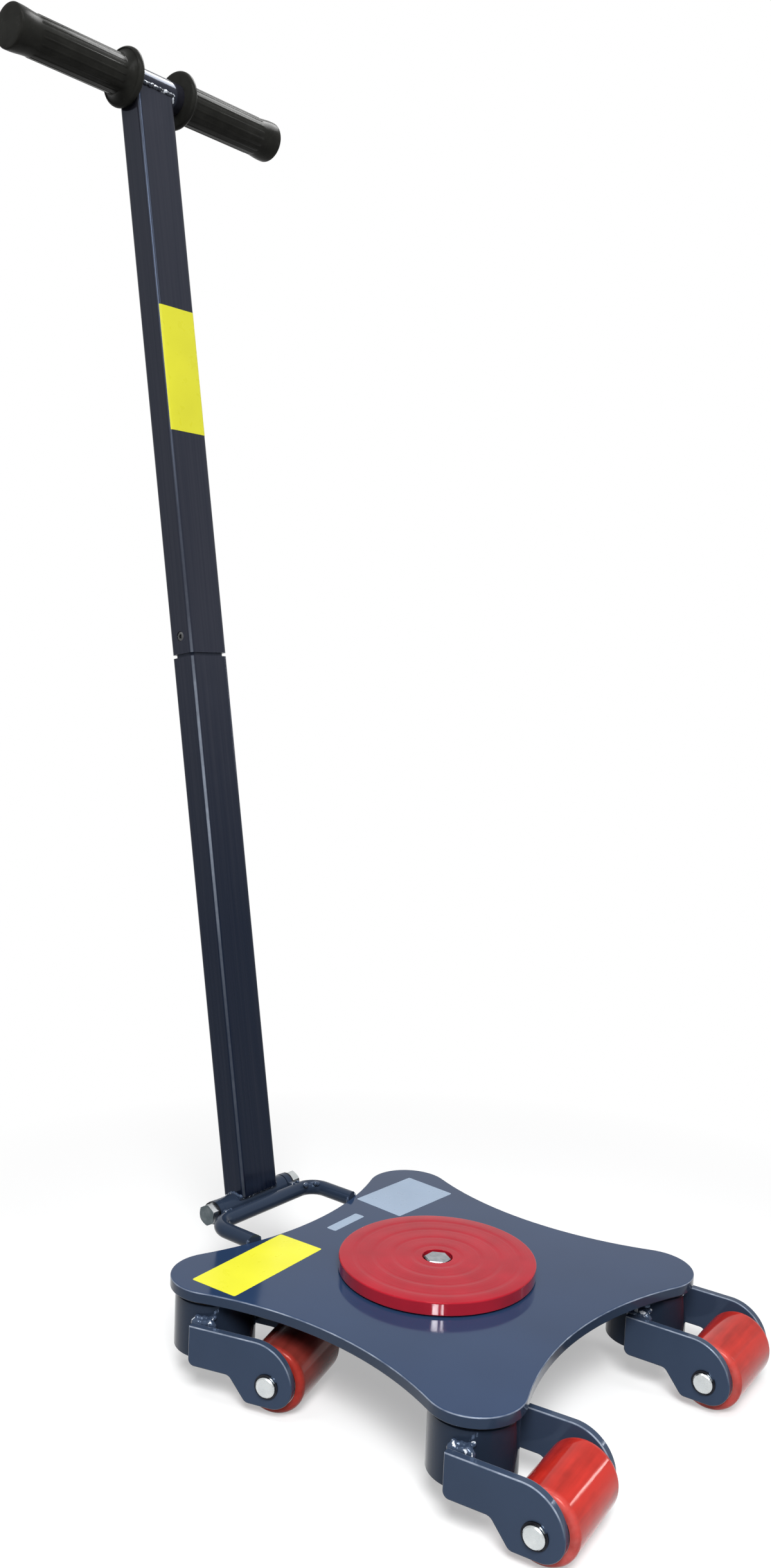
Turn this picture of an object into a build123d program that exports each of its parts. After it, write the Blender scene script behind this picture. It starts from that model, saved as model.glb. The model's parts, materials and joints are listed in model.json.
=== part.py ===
from build123d import *

import os
from math import atan2, cos, degrees, radians, sin, sqrt, tan

# Rotating machine dolly. A square deck with four lobes runs on four swivelling roller
# forks, carries a round turntable on a caged roller ring, and is steered by a two-piece
# T handle that hinges on a bent drawbar.
# Millimetres. The origin is the centre of the turntable's load face, +Z is up and +Y
# points to the handle side.

os.makedirs("parts", exist_ok=True)

# Fits and clearances
running_fit = 0.05
running_gap = 0.3
side_gap = 0.4
slip_fit = 0.1

# Turntable disc
disc_diameter = 182.0
disc_thickness = 12.0
disc_rise = 1.4
disc_top_radius = 1.2
disc_bottom_radius = 0.8
groove_first_radius = 22.0
groove_pitch = 18.0
groove_count = 4
groove_width = 4.0
groove_depth = 0.3

# Centre bolt that holds the disc down
centre_thread = 14.0
centre_head_flats = 22.0
centre_head_height = 7.0
centre_head_edge = 1.0
centre_pocket_diameter = 28.0
centre_web = 4.0
centre_bush_diameter = 18.0
centre_nut_height = 11.0
centre_nut_flange = 30.0
centre_nut_flange_height = 3.0
centre_bolt_spare = 3.0

# Caged roller ring under the disc
race_inner_diameter = 68.0
race_outer_diameter = 140.0
race_thickness = 1.0
race_room = 1.0
needle_diameter = 3.5
needle_length = 26.0
needle_count = 16
needle_play = 0.2
cage_thickness = 2.4
cage_border = 3.5

# Deck plate
deck_thickness = 10.0
caster_spacing = 285.0
lobe_radius = 41.6
deck_waist = 308.8
deck_edge_radius = 1.2

# Swivel housings and kingpins
neck_diameter = 73.4
neck_gap = 3.5
neck_edge = 1.0
kingpin_diameter = 30.0
kingpin_thread = 24.0
kingpin_spare = 1.0
bush_wall = 5.0
bush_flange_diameter = 62.0
nut_recess_diameter = 54.0
nut_recess_depth = 15.0
kingpin_nut_flats = 36.0
kingpin_nut_height = 12.0
kingpin_nut_flange = 46.0
kingpin_nut_flange_height = 3.0
cheek_start = 3.0
cheek_length = 13.0
cheek_top_step = 2.0

# Roller forks. Trail runs from the swivel axis to the axle.
trail = 77.7
axle_drop = 63.9
fork_outer_width = 100.7
fork_plate_thickness = 8.0
fork_nose_radius = 36.5
fork_chin_radius = 20.0
fork_reach = 23.3
fork_rear = 0.5
fork_step_margin = 3.8
fork_heel = 20.7
fork_lower_lift = 0.5
fork_rear_radius = 6.0
fork_step_radius = 7.0
fork_edge_radius = 1.5

# Axles, rings and rollers
axle_diameter = 18.0
axle_stub = 3.85
axle_edge = 1.0
ring_thickness = 1.2
ring_groove_depth = 0.7
ring_groove_play = 0.1
ring_width = 2.6
ring_opening = 6.0
ring_opening_angle = 50.0
washer_diameter = 34.0
washer_thickness = 1.2
roller_gap = 0.35
roller_diameter = 60.0
roller_edge_radius = 5.0
tread_thickness = 7.0
core_wall = 6.0
core_setback = 0.5
bearing_diameter = 42.0
bearing_width = 12.0
bearing_ring = 3.5
bearing_shield_step = 0.6

# Angle that each roller fork is swivelled at rest, in degrees
front_left_angle = 16.9
front_right_angle = 10.0
rear_left_angle = 7.65
rear_right_angle = 4.4

# Side and end of the deck that each roller fork is under, and its angle
casters = {
    "front_left": (-1, 1, front_left_angle),
    "front_right": (1, 1, front_right_angle),
    "rear_left": (-1, -1, rear_left_angle),
    "rear_right": (1, -1, rear_right_angle),
}

# Drawbar: one round bar bent to a U and welded to the deck edge
bar_diameter = 15.0
bar_arm_spacing = 144.6
bar_reach = 218.4
bar_bend_radius = 19.0
bar_drop = 0.9

# Hinge of the handle
pivot_reach = 238.7
pivot_drop = 0.2
pivot_thread = 12.0
pivot_head_flats = 19.0
pivot_head_height = 7.5
pivot_nut_height = 10.0
pivot_bolt_spare = 1.5
pivot_washer_diameter = 22.0
pivot_washer_thickness = 2.5
eye_diameter = 22.6
eye_width = 6.0
eye_foot_height = 12.0
sleeve_diameter = 22.0
sleeve_length = 91.7
sleeve_edge = 0.8

# Handle, measured along its tube from the hinge. The tube stands off the hinge's middle.
handle_lean = 10.2
handle_shift = 2.0
tube_width = 50.0
tube_depth = 30.0
tube_wall = 2.5
tube_corner = 4.0
tube_foot = 8.2
lower_tube_length = 551.0
joint_gap = 3.5
upper_tube_length = 594.0
insert_wall = 2.5
insert_depth_below = 80.0
insert_depth_above = 80.0
joint_hole_height = 18.0
joint_hole_diameter = 10.0
joint_screw_thread = 8.0
joint_screw_head = 9.0
joint_screw_sunk = 0.8
joint_screw_socket = 4.0
joint_screw_socket_depth = 1.2
joint_screw_end = 4.0

# Cross bar and grips. The bar's middle stands off the tube.
bar_tube_shift = 7.5
bar_tube_diameter = 32.0
bar_tube_wall = 2.5
bar_tube_half_length = 166.5
grip_flange_start = 33.0
grip_flange_width = 5.5
grip_flange_diameter = 60.0
grip_flange_edge = 2.5
grip_diameter = 38.6
grip_flare = 8.0
grip_bulge_length = 23.0
grip_bulge_diameter = 44.0
grip_bulge_setback = 10.0
grip_end_wall = 11.0
grip_end_diameter = 26.0
grip_flute_count = 12
grip_flute_radius = 3.0
grip_flute_depth = 1.0

# Levels and places that several pieces share
deck_top = -(disc_thickness + disc_rise)
deck_bottom = deck_top - deck_thickness
caster_reach = caster_spacing / 2
neck_radius = neck_diameter / 2
neck_top = deck_bottom - neck_gap
axle_level = deck_top - axle_drop
neck_bottom = axle_level + fork_lower_lift
nut_recess_top = neck_bottom + nut_recess_depth
fork_half_outer = fork_outer_width / 2
fork_half_inner = fork_half_outer - fork_plate_thickness
fork_top = axle_level + fork_nose_radius
axle_radius = axle_diameter / 2
ring_groove_radius = axle_radius - ring_groove_depth
ring_radius = ring_groove_radius + ring_width
roller_half_width = fork_half_inner - washer_thickness - roller_gap
core_radius = roller_diameter / 2 - tread_thickness
core_half_length = roller_half_width - core_setback
needle_ring_radius = (race_outer_diameter + race_inner_diameter) / 4
cage_half_width = needle_length / 2 + cage_border
cage_outer_radius = needle_ring_radius + cage_half_width
cage_inner_radius = needle_ring_radius - cage_half_width
bar_radius = bar_diameter / 2
bar_level = deck_top - bar_drop
pivot_level = deck_top - pivot_drop
eye_start = sleeve_length / 2 + side_gap
eye_end = eye_start + eye_width
pivot = Vector(0, pivot_reach, pivot_level)
handle_axis = Vector(0, sin(radians(handle_lean)), cos(radians(handle_lean)))
handle_foot = pivot + Vector(handle_shift, 0, 0)
handle_plane = Plane(origin=handle_foot, x_dir=(1, 0, 0), z_dir=handle_axis)
hinge_plane = Plane(origin=pivot, x_dir=(0, 1, 0), z_dir=(1, 0, 0))
lower_tube_top = tube_foot + lower_tube_length
upper_tube_foot = lower_tube_top + joint_gap
cross_bar_height = upper_tube_foot + upper_tube_length
cross_bar_centre = handle_foot + handle_axis * cross_bar_height + Vector(bar_tube_shift, 0, 0)
grip_end = bar_tube_half_length + grip_end_wall
grip_bulge_middle = grip_end - grip_bulge_setback
grip_bulge_start = grip_end - grip_bulge_length


def save(builder, name):
    """Label a finished piece and write its STEP file."""
    builder.part.label = name
    export_step(builder.part, f"parts/{name}.step")


def deck_outline():
    """Outline of the deck: round lobes at the casters, joined by hollow tangent sides."""
    waist = deck_waist / 2
    step = waist - caster_reach
    side_radius = (caster_reach**2 + step**2 - lobe_radius**2) / (2 * (lobe_radius - step))
    lobe = Vector(caster_reach, caster_reach)
    to_side = (Vector(0, waist + side_radius) - lobe).normalized()
    side_end = lobe + to_side * lobe_radius
    lobe_tip = lobe + lobe.normalized() * lobe_radius
    lobe_end = Vector(side_end.Y, side_end.X)
    side_start = Vector(-side_end.X, side_end.Y)
    with BuildSketch() as outline:
        with BuildLine():
            for turn in range(4):
                spin = -90 * turn
                ThreePointArc(
                    side_start.rotate(Axis.Z, spin),
                    Vector(0, waist).rotate(Axis.Z, spin),
                    side_end.rotate(Axis.Z, spin),
                )
                ThreePointArc(
                    side_end.rotate(Axis.Z, spin),
                    lobe_tip.rotate(Axis.Z, spin),
                    lobe_end.rotate(Axis.Z, spin),
                )
        make_face()
    return outline.sketch


def hexagon(flats):
    """Hexagon sketch with the given distance across its flats."""
    with BuildSketch() as outline:
        RegularPolygon(flats / 2, 6, major_radius=False)
    return outline.sketch


def turned(plane, points):
    """Body turned about the plane's X axis, from its half outline of (length, radius)."""
    with BuildPart() as body:
        with BuildSketch(plane):
            with BuildLine():
                Polyline(*points, close=True)
            make_face()
        revolve(axis=Axis(plane.origin, plane.x_dir))
    return body.part


def crowned_hexagon(plane, flats, start, end):
    """Hexagon along the plane's X axis, with its corners turned off at the end."""
    across_corners = 2 * flats / sqrt(3)
    crown = (across_corners - flats) / 2 * tan(radians(30))
    full = end - crown if end > start else end + crown
    across = Plane(plane.origin, x_dir=plane.z_dir, z_dir=plane.x_dir)
    with BuildPart() as head:
        with BuildSketch(across.offset(start)):
            add(hexagon(flats))
        extrude(amount=end - start)
        corner, flat = across_corners / 2, flats / 2
        points = [(start, 0), (start, corner), (full, corner), (end, flat), (end, 0)]
        add(turned(plane, points), mode=Mode.INTERSECT)
    return head.part


def tube_outline(width, depth, wall, corner):
    """Section of a rectangular tube with rounded corners."""
    with BuildSketch() as outline:
        RectangleRounded(width, depth, corner)
        RectangleRounded(width - 2 * wall, depth - 2 * wall, corner - wall, mode=Mode.SUBTRACT)
    return outline.sketch


# Deck plate
with BuildPart() as deck_plate:
    with BuildSketch(Plane.XY.offset(deck_top)):
        add(deck_outline())
    extrude(amount=-deck_thickness)
    fillet(deck_plate.edges().filter_by(Axis.Z, reverse=True), deck_edge_radius)
    with Locations((0, 0, deck_top)):
        Hole(centre_thread / 2, deck_thickness)
save(deck_plate, "deck_plate")

# Turntable disc, with the roller ring's recess below and the bolt pocket above
recess_top = deck_top + 2 * race_thickness + needle_diameter + running_gap
recess_outer_radius = max(race_outer_diameter / 2, cage_outer_radius) + race_room
recess_inner_radius = min(race_inner_diameter / 2, cage_inner_radius) - race_room
pocket_floor = -disc_thickness + centre_web
with BuildPart() as turntable_disc:
    with BuildSketch():
        Circle(disc_diameter / 2)
    extrude(amount=-disc_thickness)
    fillet(turntable_disc.edges().group_by(Axis.Z)[-1], disc_top_radius)
    fillet(turntable_disc.edges().group_by(Axis.Z)[0], disc_bottom_radius)
    with BuildSketch(Plane.XY.offset(-disc_thickness)):
        Circle(recess_outer_radius)
        Circle(recess_inner_radius, mode=Mode.SUBTRACT)
    extrude(amount=recess_top + disc_thickness, mode=Mode.SUBTRACT)
    with BuildSketch():
        Circle(centre_pocket_diameter / 2)
    extrude(amount=pocket_floor, mode=Mode.SUBTRACT)
    with BuildSketch(Plane.XY.offset(pocket_floor)):
        Circle(centre_bush_diameter / 2 + running_fit)
    extrude(amount=-centre_web, mode=Mode.SUBTRACT)
    for ring in range(groove_count):
        groove_radius = groove_first_radius + ring * groove_pitch
        with BuildSketch(Plane.XZ):
            with BuildLine():
                Polyline(
                    (groove_radius - groove_width / 2, 0),
                    (groove_radius, -groove_depth),
                    (groove_radius + groove_width / 2, 0),
                    close=True,
                )
            make_face()
        revolve(axis=Axis.Z, mode=Mode.SUBTRACT)
save(turntable_disc, "turntable_disc")

# Races, caged rollers and centre bolt of the turntable
for name, level in {"lower_race": deck_top, "upper_race": recess_top - race_thickness}.items():
    with BuildPart() as race:
        with BuildSketch(Plane.XY.offset(level)):
            Circle(race_outer_diameter / 2)
            Circle(race_inner_diameter / 2, mode=Mode.SUBTRACT)
        extrude(amount=race_thickness)
    save(race, name)

needle_level = deck_top + race_thickness + needle_diameter / 2
with BuildPart() as thrust_cage:
    with BuildSketch(Plane.XY.offset(needle_level - cage_thickness / 2)):
        Circle(cage_outer_radius)
        Circle(cage_inner_radius, mode=Mode.SUBTRACT)
        with PolarLocations(needle_ring_radius, needle_count):
            Rectangle(
                needle_length + 2 * needle_play,
                needle_diameter + 2 * needle_play,
                mode=Mode.SUBTRACT,
            )
    extrude(amount=cage_thickness)
save(thrust_cage, "thrust_cage")

with BuildPart() as thrust_rollers:
    with Locations(Plane.XY.offset(needle_level)):
        with PolarLocations(needle_ring_radius, needle_count):
            Cylinder(needle_diameter / 2, needle_length, rotation=(0, 90, 0))
save(thrust_rollers, "thrust_rollers")

bush_top = pocket_floor + running_gap
with BuildPart() as centre_bush:
    with BuildSketch(Plane.XY.offset(deck_top)):
        Circle(centre_bush_diameter / 2)
        Circle(centre_thread / 2, mode=Mode.SUBTRACT)
    extrude(amount=bush_top - deck_top)
save(centre_bush, "centre_bush")

centre_nut_bottom = deck_bottom - centre_nut_height
with BuildPart() as centre_bolt:
    with BuildSketch(Plane.XY.offset(bush_top)):
        add(hexagon(centre_head_flats))
    extrude(amount=centre_head_height)
    chamfer(centre_bolt.faces().sort_by(Axis.Z)[-1].edges(), centre_head_edge)
    with BuildSketch(Plane.XY.offset(bush_top)):
        Circle(centre_thread / 2)
    extrude(amount=centre_nut_bottom - centre_bolt_spare - bush_top)
save(centre_bolt, "centre_bolt")

with BuildPart() as centre_nut:
    with BuildSketch(Plane.XY.offset(deck_bottom)):
        Circle(centre_nut_flange / 2)
    extrude(amount=-centre_nut_flange_height)
    with BuildSketch(Plane.XY.offset(deck_bottom)):
        add(hexagon(centre_head_flats))
    extrude(amount=-centre_nut_height)
    with BuildSketch(Plane.XY.offset(deck_bottom)):
        Circle(centre_thread / 2)
    extrude(amount=-centre_nut_height, mode=Mode.SUBTRACT)
save(centre_nut, "centre_nut")

# Kingpins under the lobes and the nuts that hold the housings up
nut_top = nut_recess_top - running_gap
nut_bottom = nut_top - kingpin_nut_height
with BuildPart() as kingpins:
    with BuildSketch(Plane.XY.offset(deck_bottom)):
        with GridLocations(caster_spacing, caster_spacing, 2, 2):
            Circle(kingpin_diameter / 2)
    extrude(amount=nut_top - deck_bottom)
    with BuildSketch(Plane.XY.offset(nut_top)):
        with GridLocations(caster_spacing, caster_spacing, 2, 2):
            Circle(kingpin_thread / 2)
    extrude(amount=nut_bottom - kingpin_spare - nut_top)
save(kingpins, "kingpins")

with BuildPart() as kingpin_nuts:
    with BuildSketch(Plane.XY.offset(nut_top)):
        with GridLocations(caster_spacing, caster_spacing, 2, 2):
            Circle(kingpin_nut_flange / 2)
            Circle(kingpin_thread / 2, mode=Mode.SUBTRACT)
    extrude(amount=-kingpin_nut_flange_height)
    with BuildSketch(Plane.XY.offset(nut_top)):
        with GridLocations(caster_spacing, caster_spacing, 2, 2):
            RegularPolygon(kingpin_nut_flats / 2, 6, major_radius=False)
            Circle(kingpin_thread / 2, mode=Mode.SUBTRACT)
    extrude(amount=-kingpin_nut_height)
save(kingpin_nuts, "kingpin_nuts")


def make_fork_outline():
    """Side outline of a fork plate, in trail and height over the axle."""
    tip = trail + fork_reach
    nose = tip - fork_nose_radius
    chin = tip - fork_chin_radius
    heel = trail - fork_heel
    step = neck_radius + fork_step_margin
    with BuildSketch() as outline:
        with BuildLine():
            Line((fork_rear, fork_nose_radius), (nose, fork_nose_radius))
            CenterArc((nose, 0), fork_nose_radius, 0, 90)
            CenterArc((chin, 0), fork_chin_radius, 0, -90)
            FilletPolyline(
                (chin, -fork_chin_radius),
                (heel, -fork_chin_radius),
                (step, fork_lower_lift),
                (fork_rear, fork_lower_lift),
                (fork_rear, fork_nose_radius),
                radius=[fork_step_radius, fork_step_radius, fork_rear_radius],
            )
        make_face()
        with Locations((trail, 0)):
            Circle(axle_radius, mode=Mode.SUBTRACT)
    return outline.sketch


def make_circlip_outline():
    """Plain retaining ring, open up and towards the fork's nose."""
    with BuildSketch() as outline:
        Circle(ring_radius)
        Circle(ring_groove_radius, mode=Mode.SUBTRACT)
        with PolarLocations(ring_radius, 1, start_angle=ring_opening_angle):
            Rectangle(ring_radius, ring_opening, mode=Mode.SUBTRACT)
    return outline.sketch


fork_outline = make_fork_outline()
circlip_outline = make_circlip_outline()


def make_caster(corner, side, end, swivel):
    """One swivelling roller fork under the lobe at that side and end of the deck."""
    across = Vector(cos(radians(swivel)), sin(radians(swivel)))
    behind = Vector(sin(radians(swivel)), -cos(radians(swivel)))
    top = Vector(side * caster_reach, end * caster_reach)
    plan = Plane(origin=top, x_dir=across, z_dir=(0, 0, 1))
    fork_plane = Plane(origin=top + Vector(0, 0, axle_level), x_dir=behind, z_dir=across * -1)
    axle_centre = top + behind * trail + Vector(0, 0, axle_level)
    axle_plane = Plane(origin=axle_centre, x_dir=across, z_dir=behind)
    hub_plane = Plane(origin=axle_centre, x_dir=behind, z_dir=across * -1)

    with BuildPart() as housing:
        with BuildSketch(plan.offset(neck_top)):
            Circle(neck_radius)
        extrude(amount=neck_bottom - neck_top)
        chamfer(housing.edges().group_by(Axis.Z)[-1], neck_edge)
        with BuildSketch(plan.offset(fork_top - cheek_top_step)):
            with Locations((0, -cheek_start - cheek_length / 2)):
                Rectangle(2 * fork_half_inner, cheek_length)
        extrude(amount=neck_bottom - fork_top + cheek_top_step)
        with BuildSketch(plan.offset(neck_top)):
            Circle(kingpin_diameter / 2 + bush_wall)
        extrude(amount=neck_bottom - neck_top, mode=Mode.SUBTRACT)
        with BuildSketch(plan.offset(neck_bottom)):
            Circle(nut_recess_diameter / 2)
        extrude(amount=nut_recess_depth, mode=Mode.SUBTRACT)
    save(housing, f"swivel_housing_{corner}")

    with BuildPart() as bush:
        with BuildSketch(plan.offset(neck_top)):
            Circle(bush_flange_diameter / 2)
        extrude(amount=neck_gap - running_gap)
        with BuildSketch(plan.offset(neck_top)):
            Circle(kingpin_diameter / 2 + bush_wall)
        extrude(amount=nut_recess_top - neck_top)
        with BuildSketch(plan.offset(neck_top + neck_gap)):
            Circle(kingpin_diameter / 2 + running_fit)
        extrude(amount=nut_recess_top - neck_top - neck_gap, mode=Mode.SUBTRACT)
    save(bush, f"swivel_bush_{corner}")

    with BuildPart() as plates:
        for start in (fork_half_inner, -fork_half_outer):
            with BuildSketch(fork_plane.offset(start)):
                add(fork_outline)
            extrude(amount=fork_plate_thickness)
        flats = plates.faces().filter_by(Axis((0, 0, 0), across))
        fillet([edge for flat in flats for edge in flat.outer_wire().edges()], fork_edge_radius)
    save(plates, f"fork_plates_{corner}")

    groove_start = fork_half_outer + ring_groove_play
    groove_end = groove_start + ring_thickness + 2 * ring_groove_play
    axle_end = fork_half_outer + axle_stub
    half_axle = [
        (axle_end, 0),
        (axle_end, axle_radius - axle_edge),
        (axle_end - axle_edge, axle_radius),
        (groove_end, axle_radius),
        (groove_end, ring_groove_radius),
        (groove_start, ring_groove_radius),
        (groove_start, axle_radius),
    ]
    other_half = [(-length, radius) for length, radius in reversed(half_axle)]
    with BuildPart() as axle:
        add(turned(axle_plane, half_axle + other_half))
    save(axle, f"axle_{corner}")

    with BuildPart() as circlips:
        for start in (groove_start + ring_groove_play, -groove_end + ring_groove_play):
            with BuildSketch(hub_plane.offset(start)):
                add(circlip_outline)
            extrude(amount=ring_thickness)
    save(circlips, f"circlips_{corner}")

    with BuildPart() as washers:
        for start in (fork_half_inner - washer_thickness, -fork_half_inner):
            with BuildSketch(hub_plane.offset(start)):
                Circle(washer_diameter / 2)
                Circle(axle_radius, mode=Mode.SUBTRACT)
            extrude(amount=washer_thickness)
    save(washers, f"side_washers_{corner}")

    make_roller(corner, axle_plane, hub_plane)


def make_roller(corner, axle_plane, hub_plane):
    """Tread, core and bearings of the roller on that axle."""
    with BuildPart() as tread:
        with BuildSketch(hub_plane.offset(-roller_half_width)):
            Circle(roller_diameter / 2)
        extrude(amount=2 * roller_half_width)
        fillet(tread.edges().filter_by(GeomType.CIRCLE), roller_edge_radius)
        with BuildSketch(hub_plane.offset(-roller_half_width)):
            Circle(core_radius)
        extrude(amount=2 * roller_half_width, mode=Mode.SUBTRACT)
    save(tread, f"roller_tread_{corner}")

    seat_start = core_half_length - bearing_width
    seat_radius = bearing_diameter / 2
    half_core = [
        (core_half_length, core_radius),
        (core_half_length, seat_radius),
        (seat_start, seat_radius),
        (seat_start, core_radius - core_wall),
    ]
    other_half = [(-length, radius) for length, radius in reversed(half_core)]
    with BuildPart() as core:
        add(turned(axle_plane, half_core + other_half))
    save(core, f"roller_core_{corner}")

    bore = axle_radius + running_fit
    shield = core_half_length - bearing_shield_step
    with BuildPart() as bearings:
        for way in (1, -1):
            points = [
                (seat_start, bore),
                (core_half_length, bore),
                (core_half_length, bore + bearing_ring),
                (shield, bore + bearing_ring),
                (shield, seat_radius - bearing_ring),
                (core_half_length, seat_radius - bearing_ring),
                (core_half_length, seat_radius),
                (seat_start, seat_radius),
            ]
            add(turned(axle_plane, [(way * length, radius) for length, radius in points]))
    save(bearings, f"roller_bearings_{corner}")


for corner, (side, end, swivel) in casters.items():
    make_caster(corner, side, end, swivel)

# Drawbar, with its ends cut to the deck edge
with BuildPart() as drawbar:
    with BuildLine(Plane.XY.offset(bar_level)) as bar_path:
        FilletPolyline(
            (-bar_arm_spacing / 2, caster_reach),
            (-bar_arm_spacing / 2, bar_reach),
            (bar_arm_spacing / 2, bar_reach),
            (bar_arm_spacing / 2, caster_reach),
            radius=bar_bend_radius,
        )
    with BuildSketch(Plane(origin=bar_path.line @ 0, z_dir=bar_path.line % 0)):
        Circle(bar_radius)
    sweep(path=bar_path.line)
    with BuildSketch(Plane.XY.offset(bar_level - bar_diameter)):
        add(deck_outline())
    extrude(amount=2 * bar_diameter, mode=Mode.SUBTRACT)
save(drawbar, "drawbar")

# Hinge eyes, coped to the drawbar
foot_run = bar_reach - pivot_reach
foot_fall = bar_level - pivot_level
foot_length = Vector(foot_run, foot_fall).length
foot_angle = degrees(atan2(foot_fall, foot_run))
with BuildPart() as hinge_eyes:
    for start in (eye_start, -eye_end):
        with BuildSketch(hinge_plane.offset(start)):
            Circle(eye_diameter / 2)
            with Locations(Location((foot_run / 2, foot_fall / 2), foot_angle)):
                Rectangle(foot_length, eye_foot_height)
            Circle(pivot_thread / 2, mode=Mode.SUBTRACT)
        extrude(amount=eye_width)
    add(drawbar.part, mode=Mode.SUBTRACT)
save(hinge_eyes, "hinge_eyes")

# Hinge bolt, nut and washers
bolt_plane = Plane(origin=pivot, x_dir=(1, 0, 0), z_dir=(0, 0, 1))
seat = eye_end + pivot_washer_thickness
nut_end = seat + pivot_nut_height
with BuildPart() as pivot_bolt:
    add(crowned_hexagon(bolt_plane, pivot_head_flats, -seat, -seat - pivot_head_height))
    with BuildSketch(hinge_plane.offset(-seat)):
        Circle(pivot_thread / 2)
    extrude(amount=seat + nut_end + pivot_bolt_spare)
save(pivot_bolt, "pivot_bolt")

with BuildPart() as pivot_nut:
    add(crowned_hexagon(bolt_plane, pivot_head_flats, seat, nut_end))
    with BuildSketch(hinge_plane.offset(seat)):
        Circle(pivot_thread / 2)
    extrude(amount=pivot_nut_height, mode=Mode.SUBTRACT)
save(pivot_nut, "pivot_nut")

with BuildPart() as pivot_washers:
    for start in (eye_end, -seat):
        with BuildSketch(hinge_plane.offset(start)):
            Circle(pivot_washer_diameter / 2)
            Circle(pivot_thread / 2, mode=Mode.SUBTRACT)
        extrude(amount=pivot_washer_thickness)
save(pivot_washers, "pivot_washers")

# Handle: sleeve on the hinge bolt, lower tube notched over it
with BuildPart() as pivot_sleeve:
    with BuildSketch(hinge_plane.offset(-sleeve_length / 2)):
        Circle(sleeve_diameter / 2)
    extrude(amount=sleeve_length)
    chamfer(pivot_sleeve.edges().filter_by(GeomType.CIRCLE), sleeve_edge)
    with BuildSketch(hinge_plane.offset(-sleeve_length / 2)):
        Circle(pivot_thread / 2 + running_fit)
    extrude(amount=sleeve_length, mode=Mode.SUBTRACT)
save(pivot_sleeve, "pivot_sleeve")

tube_section = tube_outline(tube_width, tube_depth, tube_wall, tube_corner)
with BuildPart() as lower_tube:
    with BuildSketch(handle_plane.offset(tube_foot)):
        add(tube_section)
    extrude(amount=lower_tube_length)
    with BuildSketch(hinge_plane):
        Circle(sleeve_diameter / 2)
    extrude(amount=tube_width, both=True, mode=Mode.SUBTRACT)
save(lower_tube, "lower_tube")

# Upper tube, coped to the cross bar, with the hole for the joint screw
joint_level = upper_tube_foot + joint_hole_height
screw_plane = Plane(
    origin=handle_foot + handle_axis * joint_level, x_dir=handle_axis, z_dir=(-1, 0, 0)
)
cross_plane = Plane(origin=cross_bar_centre, x_dir=(0, 1, 0), z_dir=(1, 0, 0))
with BuildPart() as upper_tube:
    with BuildSketch(handle_plane.offset(upper_tube_foot)):
        add(tube_section)
    extrude(amount=upper_tube_length)
    with BuildSketch(cross_plane):
        Circle(bar_tube_diameter / 2)
    extrude(amount=tube_width, both=True, mode=Mode.SUBTRACT)
    with BuildSketch(screw_plane):
        Circle(joint_hole_diameter / 2)
    extrude(amount=tube_width, mode=Mode.SUBTRACT)
save(upper_tube, "upper_tube")

# Insert that joins the two tubes
insert_width = tube_width - 2 * tube_wall - 2 * slip_fit
insert_depth = tube_depth - 2 * tube_wall - 2 * slip_fit
insert_corner = tube_corner - tube_wall + insert_wall
with BuildPart() as joint_insert:
    with BuildSketch(handle_plane.offset(lower_tube_top - insert_depth_below)):
        add(tube_outline(insert_width, insert_depth, insert_wall, insert_corner))
    extrude(amount=insert_depth_below + joint_gap + insert_depth_above)
    with BuildSketch(screw_plane):
        Circle(joint_screw_thread / 2)
    extrude(amount=tube_width, mode=Mode.SUBTRACT)
save(joint_insert, "joint_insert")

screw_seat = insert_width / 2
screw_top = tube_width / 2 - joint_screw_sunk
with BuildPart() as joint_screw:
    with BuildSketch(screw_plane.offset(screw_seat)):
        Circle(joint_screw_head / 2)
    extrude(amount=screw_top - screw_seat)
    with BuildSketch(screw_plane.offset(screw_seat)):
        Circle(joint_screw_thread / 2)
    extrude(amount=-insert_wall - joint_screw_end)
    with BuildSketch(screw_plane.offset(screw_top)):
        add(hexagon(joint_screw_socket))
    extrude(amount=-joint_screw_socket_depth, mode=Mode.SUBTRACT)
save(joint_screw, "joint_screw")

# Cross bar and its two grips
with BuildPart() as cross_bar:
    with BuildSketch(cross_plane.offset(-bar_tube_half_length)):
        Circle(bar_tube_diameter / 2)
        Circle(bar_tube_diameter / 2 - bar_tube_wall, mode=Mode.SUBTRACT)
    extrude(amount=2 * bar_tube_half_length)
save(cross_bar, "cross_bar")


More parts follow.
